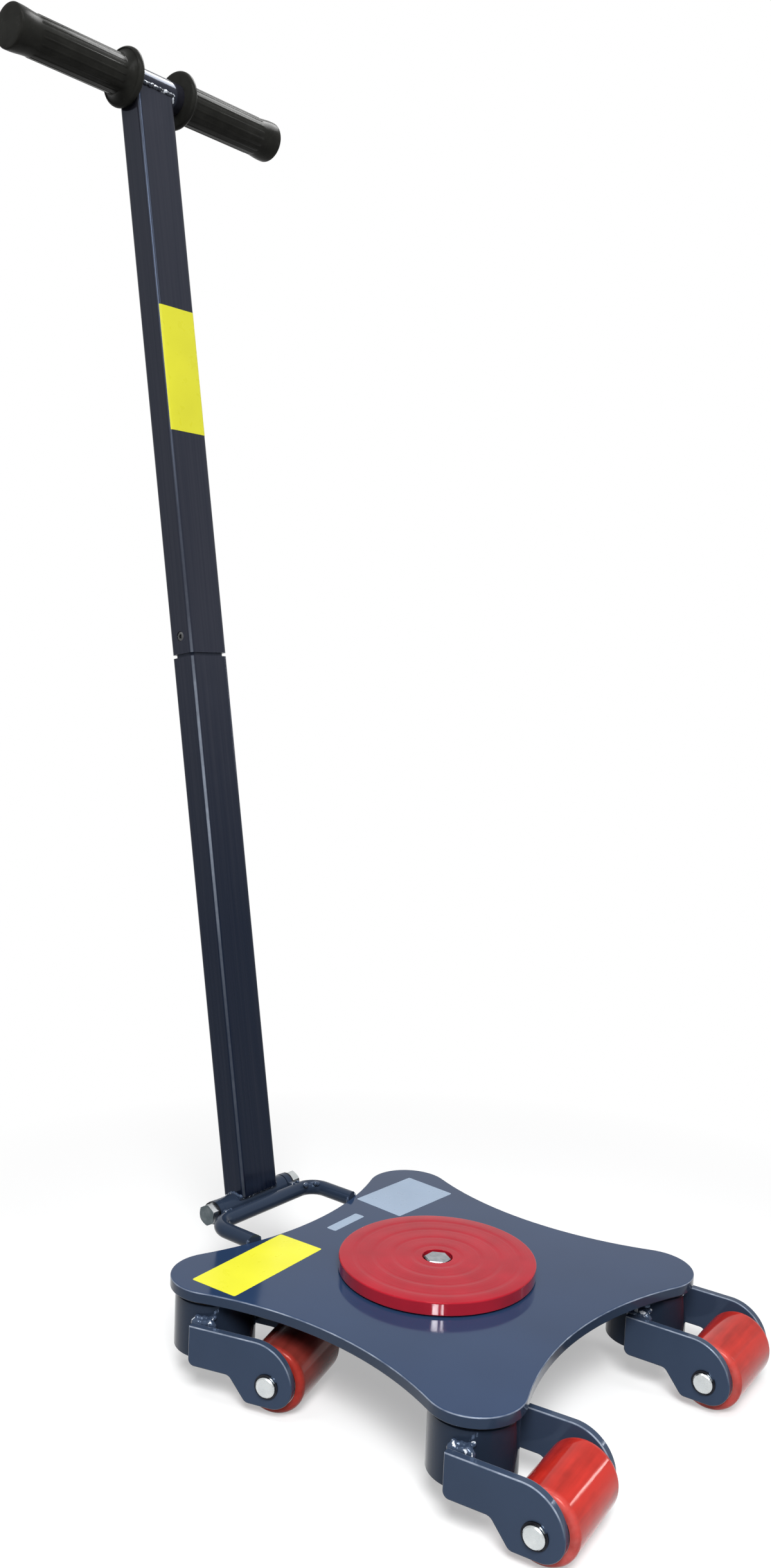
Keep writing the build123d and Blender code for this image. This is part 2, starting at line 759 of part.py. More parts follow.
def make_grip(name, way):
    """Moulded grip with a hand guard, a fluted barrel and a swollen closed end."""
    plane = Plane(
        origin=cross_bar_centre, x_dir=(way, 0, 0), z_dir=Vector(way, 0, 0).cross(handle_axis)
    )
    guard_end = grip_flange_start + grip_flange_width
    barrel = grip_diameter / 2
    bore = bar_tube_diameter / 2
    flange = grip_flange_diameter / 2
    bulge = grip_bulge_diameter / 2
    with BuildPart() as grip:
        with BuildSketch(plane):
            with BuildLine():
                Line((grip_flange_start, bore), (grip_flange_start, flange - grip_flange_edge))
                ThreePointArc(
                    (grip_flange_start, flange - grip_flange_edge),
                    ((grip_flange_start + guard_end) / 2, flange),
                    (guard_end, flange - grip_flange_edge),
                )
                Spline(
                    (guard_end, flange - grip_flange_edge),
                    (guard_end + grip_flare, barrel),
                    tangents=((0, -1), (1, 0)),
                )
                Line((guard_end + grip_flare, barrel), (grip_bulge_start, barrel))
                Spline(
                    (grip_bulge_start, barrel),
                    (grip_bulge_middle, bulge),
                    (grip_end, grip_end_diameter / 2),
                    tangents=((1, 0), (0, -1)),
                )
                Line((grip_end, grip_end_diameter / 2), (grip_end, 0))
                Line((grip_end, 0), (bar_tube_half_length, 0))
                Line((bar_tube_half_length, 0), (bar_tube_half_length, bore))
                Line((bar_tube_half_length, bore), (grip_flange_start, bore))
            make_face()
        revolve(axis=Axis(plane.origin, plane.x_dir))
        flute_start = guard_end + grip_flare
        with BuildSketch(Plane(plane.origin, plane.y_dir, plane.x_dir).offset(flute_start)):
            with PolarLocations(barrel + grip_flute_radius - grip_flute_depth, grip_flute_count):
                Circle(grip_flute_radius)
        extrude(amount=grip_bulge_start - flute_start, mode=Mode.SUBTRACT)
    save(grip, name)


make_grip("grip_left", -1)
make_grip("grip_right", 1)
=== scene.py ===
import json
from math import atan2, cos, pi, radians, sin, sqrt
from random import Random

import bpy
from bpy.props import FloatProperty, FloatVectorProperty, PointerProperty
from bpy.types import Operator, Panel, PropertyGroup
from mathutils import Matrix, Vector


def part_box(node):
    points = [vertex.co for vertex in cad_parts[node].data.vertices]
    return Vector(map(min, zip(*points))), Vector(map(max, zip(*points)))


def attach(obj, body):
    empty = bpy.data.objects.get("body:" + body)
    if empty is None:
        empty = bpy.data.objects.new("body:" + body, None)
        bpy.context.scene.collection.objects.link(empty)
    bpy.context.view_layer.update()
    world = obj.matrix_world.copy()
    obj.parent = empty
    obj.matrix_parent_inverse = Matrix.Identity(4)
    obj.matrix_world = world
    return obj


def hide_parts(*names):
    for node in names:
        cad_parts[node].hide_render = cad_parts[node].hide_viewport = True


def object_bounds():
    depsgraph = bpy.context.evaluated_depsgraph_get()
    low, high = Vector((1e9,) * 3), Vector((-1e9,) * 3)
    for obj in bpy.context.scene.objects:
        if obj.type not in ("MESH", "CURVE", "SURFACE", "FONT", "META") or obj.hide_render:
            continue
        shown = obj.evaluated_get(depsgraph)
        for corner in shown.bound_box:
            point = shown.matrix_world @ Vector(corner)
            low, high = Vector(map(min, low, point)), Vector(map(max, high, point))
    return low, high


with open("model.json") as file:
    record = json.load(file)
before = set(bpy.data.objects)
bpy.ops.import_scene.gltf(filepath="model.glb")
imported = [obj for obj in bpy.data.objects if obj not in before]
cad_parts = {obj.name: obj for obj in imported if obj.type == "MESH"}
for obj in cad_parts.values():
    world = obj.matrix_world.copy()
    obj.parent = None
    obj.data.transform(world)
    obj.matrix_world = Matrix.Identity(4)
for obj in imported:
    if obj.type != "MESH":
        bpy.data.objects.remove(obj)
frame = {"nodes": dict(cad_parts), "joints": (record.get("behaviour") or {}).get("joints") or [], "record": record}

bl_info = {
    "name": "Rotating machine dolly",
    "version": (1, 0, 0),
    "blender": (4, 5, 0),
    "location": "3D Viewport > Sidebar > Dolly",
    "description": "Paints the dolly's frame and adds its turntable plate, treads, grips, labels and welds",
    "category": "Object",
}

# Places that come from the frame
CAD_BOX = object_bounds()
JOINTS = {joint["name"]: joint for joint in frame["joints"]}
SLOTS = {part["node"]: part["material_slot"] for part in frame["record"]["subparts"]}
CORNERS = [name.removeprefix("swivel_") for name in JOINTS if name.startswith("swivel_")]
FLOOR_LEVEL = CAD_BOX[0].z
DECK_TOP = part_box("deck_plate")[1].z
FORK_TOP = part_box(f"fork_plates_{CORNERS[0]}")[1].z
HANDLE_MIDDLE = sum(corner.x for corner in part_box("upper_tube")) / 2
PIVOT = Vector(JOINTS["handle_tilt"]["pos_m"])

# Sizes that the frame's boxes don't show, in metres
PLATE_MIDDLE = 0.04635
TUBE_HALF_WIDTH = 0.025
TUBE_HALF_DEPTH = 0.015
TUBE_CORNER = 0.004

# Strips round a grip, strips in a rib, and strips from one rib to the next
GRIP_STRIPS = 108
RIB_STRIPS = 2
RIB_PITCH = 6

# Values between which the middle of a noise pattern lies
PATTERN_LOW = 0.3
PATTERN_HIGH = 0.7

# Metals by slot or node: name, dark and bright tone, lowest and highest roughness, features to the metre
METALS = {
    "zinc": ("zinc_plate", (0.46, 0.49, 0.50), (0.56, 0.58, 0.58), 0.22, 0.34, 90.0),
    "steel": ("turned_steel", (0.42, 0.43, 0.44), (0.58, 0.58, 0.58), 0.28, 0.44, 120.0),
    "bronze": ("bearing_bronze", (0.48, 0.32, 0.13), (0.66, 0.47, 0.22), 0.35, 0.50, 140.0),
    "black_steel": ("black_oxide", (0.012, 0.013, 0.018), (0.028, 0.030, 0.036), 0.35, 0.5, 160.0),
    "centre_bolt": ("dull_zinc", (0.24, 0.26, 0.28), (0.38, 0.40, 0.42), 0.25, 0.40, 160.0),
    # The joint screw is darkened as painted shade for the hole it sits in
    "joint_screw": ("screw_steel_painted_shade", (0.05, 0.053, 0.056), (0.16, 0.165, 0.17), 0.14, 0.24, 200.0),
}

# Labels on the deck: name, finish, middle, size, and angle in degrees
DECK_LABELS = (
    ("deck_label_yellow", "yellow_vinyl", (-0.1038, 0.127), (0.1242, 0.0504), 3.3),
    ("deck_label_silver", "silver_foil", (0.114, 0.1259), (0.084, 0.059), -3.0),
    ("deck_label_strip", "silver_foil", (0.022, 0.1286), (0.0464, 0.0112), 1.5),
)


class PaintSettings(PropertyGroup):
    """Colours of the finishes, in linear values."""

    deck: FloatVectorProperty(
        name="Deck enamel",
        description="Gloss paint on the deck plate",
        subtype="COLOR",
        default=(0.016, 0.034, 0.080),
        min=0,
        max=1,
    )
    slate: FloatVectorProperty(
        name="Slate enamel",
        description="Gloss paint on the forks, the housings and the drawbar",
        subtype="COLOR",
        default=(0.030, 0.045, 0.078),
        min=0,
        max=1,
    )
    # Painted highlight: a lighter colour for the rounded top edges, where light catches them
    edge_wear_and_highlight: FloatVectorProperty(
        name="Painted edge highlight",
        description="Painted highlight along the top edges of the deck and the forks",
        subtype="COLOR",
        default=(0.32, 0.36, 0.43),
        min=0,
        max=1,
    )
    # Painted shade: the handle's enamel runs from the darker foot colour to the lighter head colour
    handle_foot: FloatVectorProperty(
        name="Handle enamel, foot",
        description="Darker end of the painted shade, at the foot of the handle",
        subtype="COLOR",
        default=(0.002, 0.004, 0.011),
        min=0,
        max=1,
    )
    handle_head: FloatVectorProperty(
        name="Handle enamel, head",
        description="Lighter end of the painted shade, at the top of the handle",
        subtype="COLOR",
        default=(0.022, 0.022, 0.029),
        min=0,
        max=1,
    )
    red: FloatVectorProperty(
        name="Red enamel",
        description="Paint on the turntable disc",
        subtype="COLOR",
        default=(0.325, 0.010, 0.021),
        min=0,
        max=1,
    )
    tread: FloatVectorProperty(
        name="Red polyurethane",
        description="Cast treads of the rollers",
        subtype="COLOR",
        default=(0.40, 0.020, 0.013),
        min=0,
        max=1,
    )
    # Partly rim wear, partly a painted highlight on the rounded rims
    tread_rim_wear_and_highlight: FloatVectorProperty(
        name="Rim wear and painted highlight",
        description="Paler rims of the rollers",
        subtype="COLOR",
        default=(0.48, 0.13, 0.12),
        min=0,
        max=1,
    )
    # Painted shade: a darker copy of the tread for the roller under the deck
    tread_shaded: FloatVectorProperty(
        name="Shaded polyurethane",
        description="Darker tread of the front left roller, as painted shade",
        subtype="COLOR",
        default=(0.18, 0.026, 0.020),
        min=0,
        max=1,
    )
    grip: FloatVectorProperty(
        name="Black rubber",
        description="Moulded grips on the cross bar",
        subtype="COLOR",
        default=(0.019, 0.019, 0.017),
        min=0,
        max=1,
    )
    # Painted glints: bright flecks that stand in for highlights on the weld crests
    painted_highlight: FloatVectorProperty(
        name="Painted weld glints",
        description="Bright flecks on the crests of the weld beads",
        subtype="COLOR",
        default=(0.70, 0.74, 0.80),
        min=0,
        max=1,
    )
    yellow: FloatVectorProperty(
        name="Yellow vinyl",
        description="Blank yellow labels on the deck and the handle",
        subtype="COLOR",
        default=(0.66, 0.64, 0.034),
        min=0,
        max=1,
    )
    silver: FloatVectorProperty(
        name="Silver foil",
        description="Blank silver labels on the deck",
        subtype="COLOR",
        default=(0.26, 0.33, 0.43),
        min=0,
        max=1,
    )


class LabelSettings(PropertyGroup):
    """Places and sizes of the blank labels."""

    thickness: FloatProperty(
        name="Thickness",
        description="Thickness of every label",
        unit="LENGTH",
        default=0.00015,
    )
    corner: FloatProperty(
        name="Corner",
        description="Corner radius of the labels on the deck",
        unit="LENGTH",
        default=0.002,
    )
    tube_start: FloatProperty(
        name="Tube label start",
        description="Height of the tube label's foot along the handle",
        unit="LENGTH",
        default=0.7907,
    )
    tube_length: FloatProperty(
        name="Tube label length",
        description="Length of the label along the handle",
        unit="LENGTH",
        default=0.129,
    )


class WeldSettings(PropertyGroup):
    """Places and sizes of the weld beads."""

    skin: FloatProperty(
        name="Skin",
        description="Grain of the skin that melts the drops of a bead together",
        unit="LENGTH",
        default=0.0006,
    )
    neck_radius: FloatProperty(
        name="Neck radius",
        description="Radius of the swivel housings",
        unit="LENGTH",
        default=0.0367,
    )
    plate_face: FloatProperty(
        name="Plate face",
        description="Distance of a fork plate's inner face from the middle of the fork",
        unit="LENGTH",
        default=0.04235,
    )
    fork_bead: FloatProperty(
        name="Fork bead",
        description="Radius of the drops between a fork plate and its housing",
        unit="LENGTH",
        default=0.0036,
    )
    bar_bead: FloatProperty(
        name="Bar bead",
        description="Radius of the drops round the drawbar's ends and the hinge eyes",
        unit="LENGTH",
        default=0.0022,
    )


class StageSettings(PropertyGroup):
    """Camera, floor and lights."""

    camera_place: FloatVectorProperty(
        name="Camera place",
        description="Where the camera stands",
        subtype="XYZ",
        unit="LENGTH",
        default=(-0.99388, -0.70077, 0.55595),
    )
    camera_yaw: FloatProperty(
        name="Camera yaw",
        description="Direction of view, turned from +Y towards +X",
        subtype="ANGLE",
        default=radians(51.69),
    )
    camera_pitch: FloatProperty(
        name="Camera pitch",
        description="How far the camera looks down",
        subtype="ANGLE",
        default=radians(5.70),
    )
    camera_roll: FloatProperty(
        name="Camera roll",
        description="How far the camera is turned about its view",
        subtype="ANGLE",
        default=radians(2.43),
    )
    lens: FloatProperty(
        name="Lens",
        description="Focal length over a 36 mm long side",
        subtype="DISTANCE_CAMERA",
        default=31.48,
    )
    floor_size: FloatProperty(
        name="Floor size",
        description="Side of the square floor",
        unit="LENGTH",
        default=40.0,
    )
    ceiling_power: FloatProperty(
        name="Ceiling light",
        description="Power of the large soft light above the dolly",
        unit="POWER",
        default=7.0,
    )
    strip_power: FloatProperty(
        name="Strip light",
        description="Power of the long light above and before the dolly",
        unit="POWER",
        default=12.0,
    )
    box_power: FloatProperty(
        name="Soft box",
        description="Power of the soft box above and to the right of the handle",
        unit="POWER",
        default=4.5,
    )
    front_power: FloatProperty(
        name="Front light",
        description="Power of the soft light that faces the deck from the front",
        unit="POWER",
        default=12.8,
    )
    glint_power: FloatProperty(
        name="Glint lights",
        description="Power of the two small lights that only show in second reflections",
        unit="POWER",
        default=15.0,
    )
    side_power: FloatProperty(
        name="Side light",
        description="Power of the small light to the right of the dolly",
        unit="POWER",
        default=3.0,
    )
    fill_strength: FloatProperty(
        name="Fill",
        description="Strength of the white surroundings on matt surfaces",
        default=0.14,
    )


class Finish:
    """A procedural material: one Principled shader fed by patterns on Object coordinates."""

    def __init__(self, name, **sockets):
        self.material = bpy.data.materials.new(name)
        self.material.use_nodes = True
        self.tree = self.material.node_tree
        self.shader = self.tree.nodes["Principled BSDF"]
        self.place = self.tree.nodes.new("ShaderNodeTexCoord").outputs["Object"]
        for socket, value in sockets.items():
            self.shader.inputs[socket.replace("_", " ")].default_value = value

    def add(self, kind, links, **values):
        """Add a node, link the given outputs to its inputs and set its other inputs."""
        node = self.tree.nodes.new(kind)
        for socket, output in links.items():
            self.tree.links.new(output, node.inputs[socket])
        for socket, value in values.items():
            node.inputs[socket.replace("_", " ")].default_value = value
        return node

    def drive(self, socket, output):
        """Feed one of the shader's inputs."""
        self.tree.links.new(output, self.shader.inputs[socket])

    def turned(self, origin, turn):
        """Object coordinates measured from an origin, in turned axes."""
        node = self.add("ShaderNodeMapping", {"Vector": self.place})
        node.vector_type = "TEXTURE"
        node.inputs["Location"].default_value = origin
        node.inputs["Rotation"].default_value = turn
        return node.outputs[0]

    def stretched(self, place, scale):
        """A place with each of its coordinates multiplied."""
        return self.add("ShaderNodeMapping", {"Vector": place}, Scale=scale).outputs[0]

    def part(self, axis, place=None):
        """One coordinate of a place."""
        return self.add("ShaderNodeSeparateXYZ", {"Vector": place or self.place}).outputs[axis]

    def mapped(self, value, start=0.0, end=1.0, low=0.0, high=1.0):
        """A value whose stretch from start to end is laid over the stretch from low to high."""
        values = {"From_Min": start, "From_Max": end, "To_Min": low, "To_Max": high}
        return self.add("ShaderNodeMapRange", {"Value": value}, **values).outputs[0]

    def along(self, axis, start, end, low=0.0, high=1.0, place=None):
        """Value that goes from low to high between two places on an axis."""
        return self.mapped(self.part(axis, place), start, end, low, high)

    def between(self, value, start, end, fade):
        """One where a value lies between two limits, with soft ends."""
        rise = self.mapped(value, start - fade, start)
        fall = self.mapped(value, end + fade, end)
        return self.combined("MULTIPLY", rise, fall)

    def distance(self, value, middle=0.0):
        """How far a value is from a middle."""
        offset = self.add("ShaderNodeMath", {0: value})
        offset.operation = "SUBTRACT"
        offset.inputs[1].default_value = middle
        size = self.add("ShaderNodeMath", {0: offset.outputs[0]})
        size.operation = "ABSOLUTE"
        return size.outputs[0]

    def rings(self, scale, distortion):
        """Sine waves about the Z axis; scale is 0.314 over the length of a wave."""
        values = {"Scale": scale, "Distortion": distortion, "Detail": 2.0}
        node = self.add("ShaderNodeTexWave", {"Vector": self.place}, **values)
        node.wave_type = "RINGS"
        node.rings_direction = "Z"
        return node.outputs["Fac"]

    def combined(self, operation, first, second):
        """Two patterns joined by a sum, a product or the like."""
        node = self.add("ShaderNodeMath", {0: first, 1: second})
        node.operation = operation
        return node.outputs[0]

    def noise(self, scale, detail=3.0, place=None):
        """Cloudy pattern with about that many features to the metre."""
        links = {"Vector": place or self.place}
        return self.add("ShaderNodeTexNoise", links, Scale=scale, Detail=detail).outputs[0]

    def ranged(self, pattern, low, high):
        """A pattern's middle stretched to the values between low and high."""
        return self.mapped(pattern, PATTERN_LOW, PATTERN_HIGH, low, high)

    def tinted(self, pattern, first, second, start=PATTERN_LOW, end=PATTERN_HIGH):
        """Colour that goes from first to second with the pattern."""
        node = self.add("ShaderNodeValToRGB", {"Fac": pattern})
        elements = node.color_ramp.elements
        elements[0].position = start
        elements[0].color = (*first, 1)
        elements[1].position = end
        elements[1].color = (*second, 1)
        return node.outputs["Color"]

    def mottled(self, pattern, colour, darkest, lightest, **limits):
        """Colour that goes from a darker to a lighter shade of itself with the pattern."""
        return self.tinted(pattern, shade(colour, darkest), shade(colour, lightest), **limits)

    def clouded(self, colour):
        """An enamel's colour with faint clouds."""
        return self.mottled(self.noise(scale=9.0, detail=4.0), colour, darkest=0.92, lightest=1.08)

    def blended(self, factor, first, second):
        """Colour that goes from first to second with the factor."""
        node = self.add("ShaderNodeMix", {"Factor": factor})
        node.data_type = "RGBA"
        self.tree.links.new(first, node.inputs["A"])
        self.tree.links.new(second, node.inputs["B"])
        return node.outputs["Result"]

    def painted_edge_highlight(self, body, pattern, colour):
        """The body's colour, with a painted highlight of another colour where the pattern is."""
        painted_highlight = self.mottled(self.noise(scale=200.0), colour, darkest=0.8, lightest=1.0)
        return self.blended(pattern, body, painted_highlight)

    def bump(self, height, depth, strength):
        """Relief on the surface from a height pattern."""
        relief = self.add("ShaderNodeBump", {"Height": height}, Strength=strength, Distance=depth)
        self.drive("Normal", relief.outputs["Normal"])

    def grain(self, scale, depth, strength):
        """Fine relief all over the surface."""
        self.bump(self.noise(scale, detail=2.0), depth, strength)

    def roughen(self, scale, low, high):
        """Roughness that wanders between two values."""
        self.drive("Roughness", self.ranged(self.noise(scale), low, high))


def shade(colour, factor):
    """A colour made lighter or darker."""
    return tuple(min(1.0, part * factor) for part in colour)


def grey(level):
    """A colour without a hue."""
    return (level, level, level)


def make_enamel(name, colour, edge=None, edge_wear_and_highlight=None, side=None):
    """Glossy enamel with an orange peel and faint clouds.

    A painted highlight lightens it where the edge pattern is, and below the deck's top face a darker side colour
    is painted shade.
    """
    finish = Finish(name, Specular_IOR_Level=0.25, Specular_Tint=(0.30, 0.40, 0.58, 1))
    body = finish.clouded(colour)
    # Painted shade: a darker colour on the deck's sides below their top face
    if side:
        face = finish.along("Z", start=DECK_TOP - 0.0018, end=DECK_TOP - 0.0012)
        body = finish.blended(face, finish.clouded(side), body)
    # Painted highlight, in patches, along the edge pattern
    if edge:
        patches = finish.ranged(finish.noise(scale=60.0, detail=4.0), low=0.2, high=0.9)
        body = finish.painted_edge_highlight(body, finish.combined("MULTIPLY", edge(finish), patches), edge_wear_and_highlight)
    finish.drive("Base Color", body)
    finish.roughen(scale=45.0, low=0.08, high=0.14)
    finish.grain(scale=300.0, depth=0.0002, strength=0.015)
    return finish.material


def deck_edge(finish):
    """The round edge below the deck's top face, which carries the painted highlight."""
    return finish.between(finish.part("Z"), start=DECK_TOP - 0.0010, end=DECK_TOP - 0.0004, fade=0.0003)


def make_fork_enamel(paint, corner):
    """Enamel of one fork, with a painted highlight along the upper edges of its two plates."""

    def plate_edge_highlights(finish):
        """The edges of both plates, fading out down the fork, away from the light above."""
        place = finish.turned(JOINTS[f"swivel_{corner}"]["pos_m"], (0, 0, axle_angle(corner)))
        from_middle = finish.distance(finish.distance(finish.part("X", place)), PLATE_MIDDLE)
        edges = finish.between(from_middle, start=0.0029, end=0.0037, fade=0.0002)
        # The painted highlight keeps to the upper parts, where light from above catches the plates
        upper = finish.along("Z", start=FORK_TOP - 0.032, end=FORK_TOP - 0.012)
        return finish.combined("MULTIPLY", edges, upper)

    return make_enamel(f"fork_enamel_{corner}", paint.slate, plate_edge_highlights, paint.edge_wear_and_highlight)


def make_weld(name, colour, paint):
    """Enamel on a weld bead, with bright flecks on its crests that are painted glints."""
    finish = Finish(name, Specular_IOR_Level=0.5, Specular_Tint=(0.45, 0.55, 0.70, 1))
    # Painted glints: bright flecks in the base colour
    flecks = finish.noise(scale=170.0, detail=2.0)
    finish.drive("Base Color", finish.tinted(flecks, colour, paint.painted_highlight, start=0.60, end=0.65))
    finish.roughen(scale=90.0, low=0.08, high=0.16)
    finish.grain(scale=500.0, depth=0.0003, strength=0.2)
    return finish.material


def make_handle_enamel(name, paint, edge_wear_and_highlight=None):
    """Enamel with painted shade, darker at the handle's foot and lighter at its head, streaked along it, with a
    painted highlight on the tubes' corners.
    """
    finish = Finish(name, Specular_IOR_Level=0.25, Specular_Tint=(0.40, 0.55, 0.90, 1))
    place = finish.turned(PIVOT + Vector((HANDLE_MIDDLE, 0, 0)), (-handle_lean(), 0, 0))
    # Painted shade: darker towards the foot, lighter towards the head
    height = finish.along("Z", start=0.28, end=0.60, low=0.32, high=0.66, place=place)
    drawn = finish.stretched(place, scale=(350, 350, 5))
    streaks = finish.ranged(finish.noise(scale=1.0, place=drawn), low=-0.07, high=0.07)
    body = finish.tinted(finish.combined("ADD", height, streaks), paint.handle_foot, paint.handle_head)
    if edge_wear_and_highlight:
        # Painted highlight, in patches, down the tubes' rounded corners
        across = [finish.distance(finish.part(axis, place)) for axis in ("X", "Y")]
        corners = finish.mapped(finish.combined("ADD", *across), start=0.0371, end=0.0375)
        rise = finish.along("Z", start=0.20, end=0.42, low=0.2, high=1.0, place=place)
        fall = finish.along("Z", start=0.53, end=0.60, low=1.0, high=0.2, place=place)
        corner_highlight = finish.combined("MULTIPLY", corners, finish.combined("MULTIPLY", rise, fall))
        patches = finish.ranged(finish.noise(scale=14.0, detail=4.0), low=0.3, high=0.8)
        body = finish.painted_edge_highlight(body, finish.combined("MULTIPLY", corner_highlight, patches), edge_wear_and_highlight)
    finish.drive("Base Color", body)
    finish.roughen(scale=40.0, low=0.09, high=0.16)
    finish.grain(scale=300.0, depth=0.0002, strength=0.015)
    return finish.material


def make_red(paint):
    """Gloss enamel over turned steel, with faint rings on the face and a shinier side."""
    sheen = {"Specular_IOR_Level": 0.15, "Specular_Tint": (0.9, 0.3, 0.3, 1), "Coat_Roughness": 0.04}
    finish = Finish("red_enamel", **sheen)
    finish.drive("Coat Weight", finish.along("Z", start=-0.0008, end=-0.0016))
    clouds = finish.noise(scale=28.0, detail=5.0)
    finish.drive("Base Color", finish.mottled(clouds, paint.red, darkest=0.86, lightest=1.08))
    finish.roughen(scale=60.0, low=0.10, high=0.20)
    broad = finish.rings(scale=17.5, distortion=1.2)
    fine = finish.mapped(finish.rings(scale=105.0, distortion=0.6), high=0.12)
    face = finish.along("Z", start=-0.0010, end=-0.0004)
    relief = finish.combined("MULTIPLY", finish.combined("ADD", broad, fine), face)
    finish.bump(relief, depth=0.0003, strength=0.5)
    return finish.material


def make_tread(paint, corner):
    """Glossy cast polyurethane, streaked along the roller and paler at its rims, partly from wear and partly as a
    painted highlight.
    """
    colour, rim_colour = paint.tread, paint.tread_rim_wear_and_highlight
    # Painted shade: the front left roller, under the deck, gets a darker tread and the plain tread colour on its
    # rims
    if corner == "front_left":
        colour, rim_colour = paint.tread_shaded, paint.tread
    sheen = {"Specular_IOR_Level": 0.2, "Specular_Tint": (1.0, 0.5, 0.45, 1)}
    finish = Finish(f"red_polyurethane_{corner}", **sheen)
    place = finish.turned(JOINTS[f"roll_{corner}"]["pos_m"], (0, 0, axle_angle(corner)))
    streaks = finish.noise(scale=1.0, place=finish.stretched(place, scale=(8, 90, 90)))
    blotches = finish.ranged(finish.noise(scale=70.0, detail=4.0), low=-0.06, high=0.06)
    clouds = finish.combined("ADD", streaks, blotches)
    body = finish.mottled(clouds, colour, darkest=0.70, lightest=1.12, end=0.6)
    # Paler rims: partly wear, partly a painted highlight on the rounded rims
    rim_band = finish.mapped(finish.distance(finish.part("X", place)), start=0.0345, end=0.0400)
    ragged = finish.mapped(finish.noise(scale=150.0, detail=4.0), low=0.1, high=0.8)
    edge_wear_and_highlight = finish.combined("MULTIPLY", rim_band, ragged)
    rim = finish.mottled(finish.noise(scale=70.0), rim_colour, darkest=0.85, lightest=1.0)
    finish.drive("Base Color", finish.blended(edge_wear_and_highlight, body, rim))
    finish.drive("Roughness", finish.mapped(edge_wear_and_highlight, low=0.10, high=0.35))
    finish.grain(scale=200.0, depth=0.0002, strength=0.05)
    return finish.material


def make_grip(paint):
    """Satin black rubber with a fine grain."""
    finish = Finish("moulded_rubber", Specular_IOR_Level=0.035)
    clouds = finish.noise(scale=60.0)
    finish.drive("Base Color", finish.mottled(clouds, paint.grip, darkest=0.8, lightest=1.3))
    finish.roughen(scale=200.0, low=0.22, high=0.28)
    finish.grain(scale=1500.0, depth=0.0001, strength=0.02)
    return finish.material


def make_metal(name, dark, bright, low, high, scale):
    """Bare or plated metal with cloudy tone, finer gloss and still finer grain."""
    gloss_scale, grain_scale = scale * 3, scale * 12
    finish = Finish(name, Metallic=1.0)
    finish.drive("Base Color", finish.tinted(finish.noise(scale, detail=4.0), dark, bright))
    finish.roughen(gloss_scale, low, high)
    finish.grain(grain_scale, depth=0.0001, strength=0.12)
    return finish.material


def make_hinge_zinc():
    """Bright zinc on the hinge bolt's flats; the end of its head is darkened as a painted reflection."""
    dull, bright = (0.085, 0.105, 0.115), (0.74, 0.76, 0.77)
    finish = Finish("hinge_zinc", Metallic=1.0)
    head_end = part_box("pivot_bolt")[0].x
    # Painted reflection: the end of the head is darkened
    flats = finish.along("X", start=head_end + 0.0003, end=head_end + 0.0012, high=0.8)
    clouds = finish.mapped(finish.noise(scale=120.0, detail=4.0), high=0.2)
    tone = finish.combined("ADD", flats, clouds)
    finish.drive("Base Color", finish.tinted(tone, dull, bright, start=0.1, end=0.9))
    finish.roughen(scale=300.0, low=0.24, high=0.36)
    finish.grain(scale=900.0, depth=0.0001, strength=0.12)
    return finish.material


def make_label(name, colour):
    """Blank vinyl or foil, slightly mottled."""
    finish = Finish(name, Specular_IOR_Level=0.2)
    clouds = finish.noise(scale=20.0, detail=1.0)
    finish.drive("Base Color", finish.mottled(clouds, colour, darkest=0.96, lightest=1.03))
    finish.roughen(scale=90.0, low=0.25, high=0.38)
    return finish.material


def make_finishes(paint):
    """Every finish by the name of its material slot, or of the nodes that differ from their slot."""
    # The deck's side colour is painted shade
    painted_side_shade, housing, bar = (shade(paint.slate, factor) for factor in (0.75, 0.5, 0.63))
    bar_enamel = make_enamel("bar_enamel", bar)
    tube_enamel = make_handle_enamel("tube_enamel", paint, paint.edge_wear_and_highlight)
    return {
        "slate_paint": make_handle_enamel("handle_enamel", paint),
        "deck_plate": make_enamel("deck_enamel", paint.deck, deck_edge, paint.edge_wear_and_highlight, painted_side_shade),
        # Painted shade: the housings' enamel is the slate darkened by half, for the shade under the deck
        "swivel_housing": make_enamel("housing_enamel_painted_shade", housing),
        "drawbar": bar_enamel,
        "hinge_eyes": bar_enamel,
        "pivot_sleeve": bar_enamel,
        "lower_tube": tube_enamel,
        "upper_tube": tube_enamel,
        "red_paint": make_red(paint),
        "grip_rubber": make_grip(paint),
        "pivot_bolt": make_hinge_zinc(),
        **{name: make_metal(*metal) for name, metal in METALS.items()},
        **{f"fork_plates_{corner}": make_fork_enamel(paint, corner) for corner in CORNERS},
        **{f"roller_tread_{corner}": make_tread(paint, corner) for corner in CORNERS},
    }


def start_clean():
    """Leave edit mode and deselect everything, so that an operator acts on its own piece."""
    if bpy.context.object and bpy.context.object.mode != "OBJECT":
        bpy.ops.object.mode_set(mode="OBJECT")
    bpy.ops.object.select_all(action="DESELECT")


def apply_place():
    """Move the active object's place, turn and size into its mesh."""
    bpy.ops.object.transform_apply(location=True, rotation=True, scale=True)


def axle_angle(corner):
    """Angle that a fork is swivelled at rest."""
    axis = JOINTS[f"roll_{corner}"]["axis"]
    return atan2(axis[1], axis[0])


def handle_lean():
    """Angle that the handle leans back at rest, from its cross bar's place over the hinge."""
    low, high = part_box("cross_bar")
    head = (low + high) / 2 - PIVOT
    return atan2(head.y, head.z)


def onto_handle():
    """Lean the active mesh with the handle and move it from the origin to the hinge."""
    apply_place()
    bpy.context.object.rotation_euler.x = -handle_lean()
    bpy.context.object.location = PIVOT + Vector((HANDLE_MIDDLE, 0, 0))


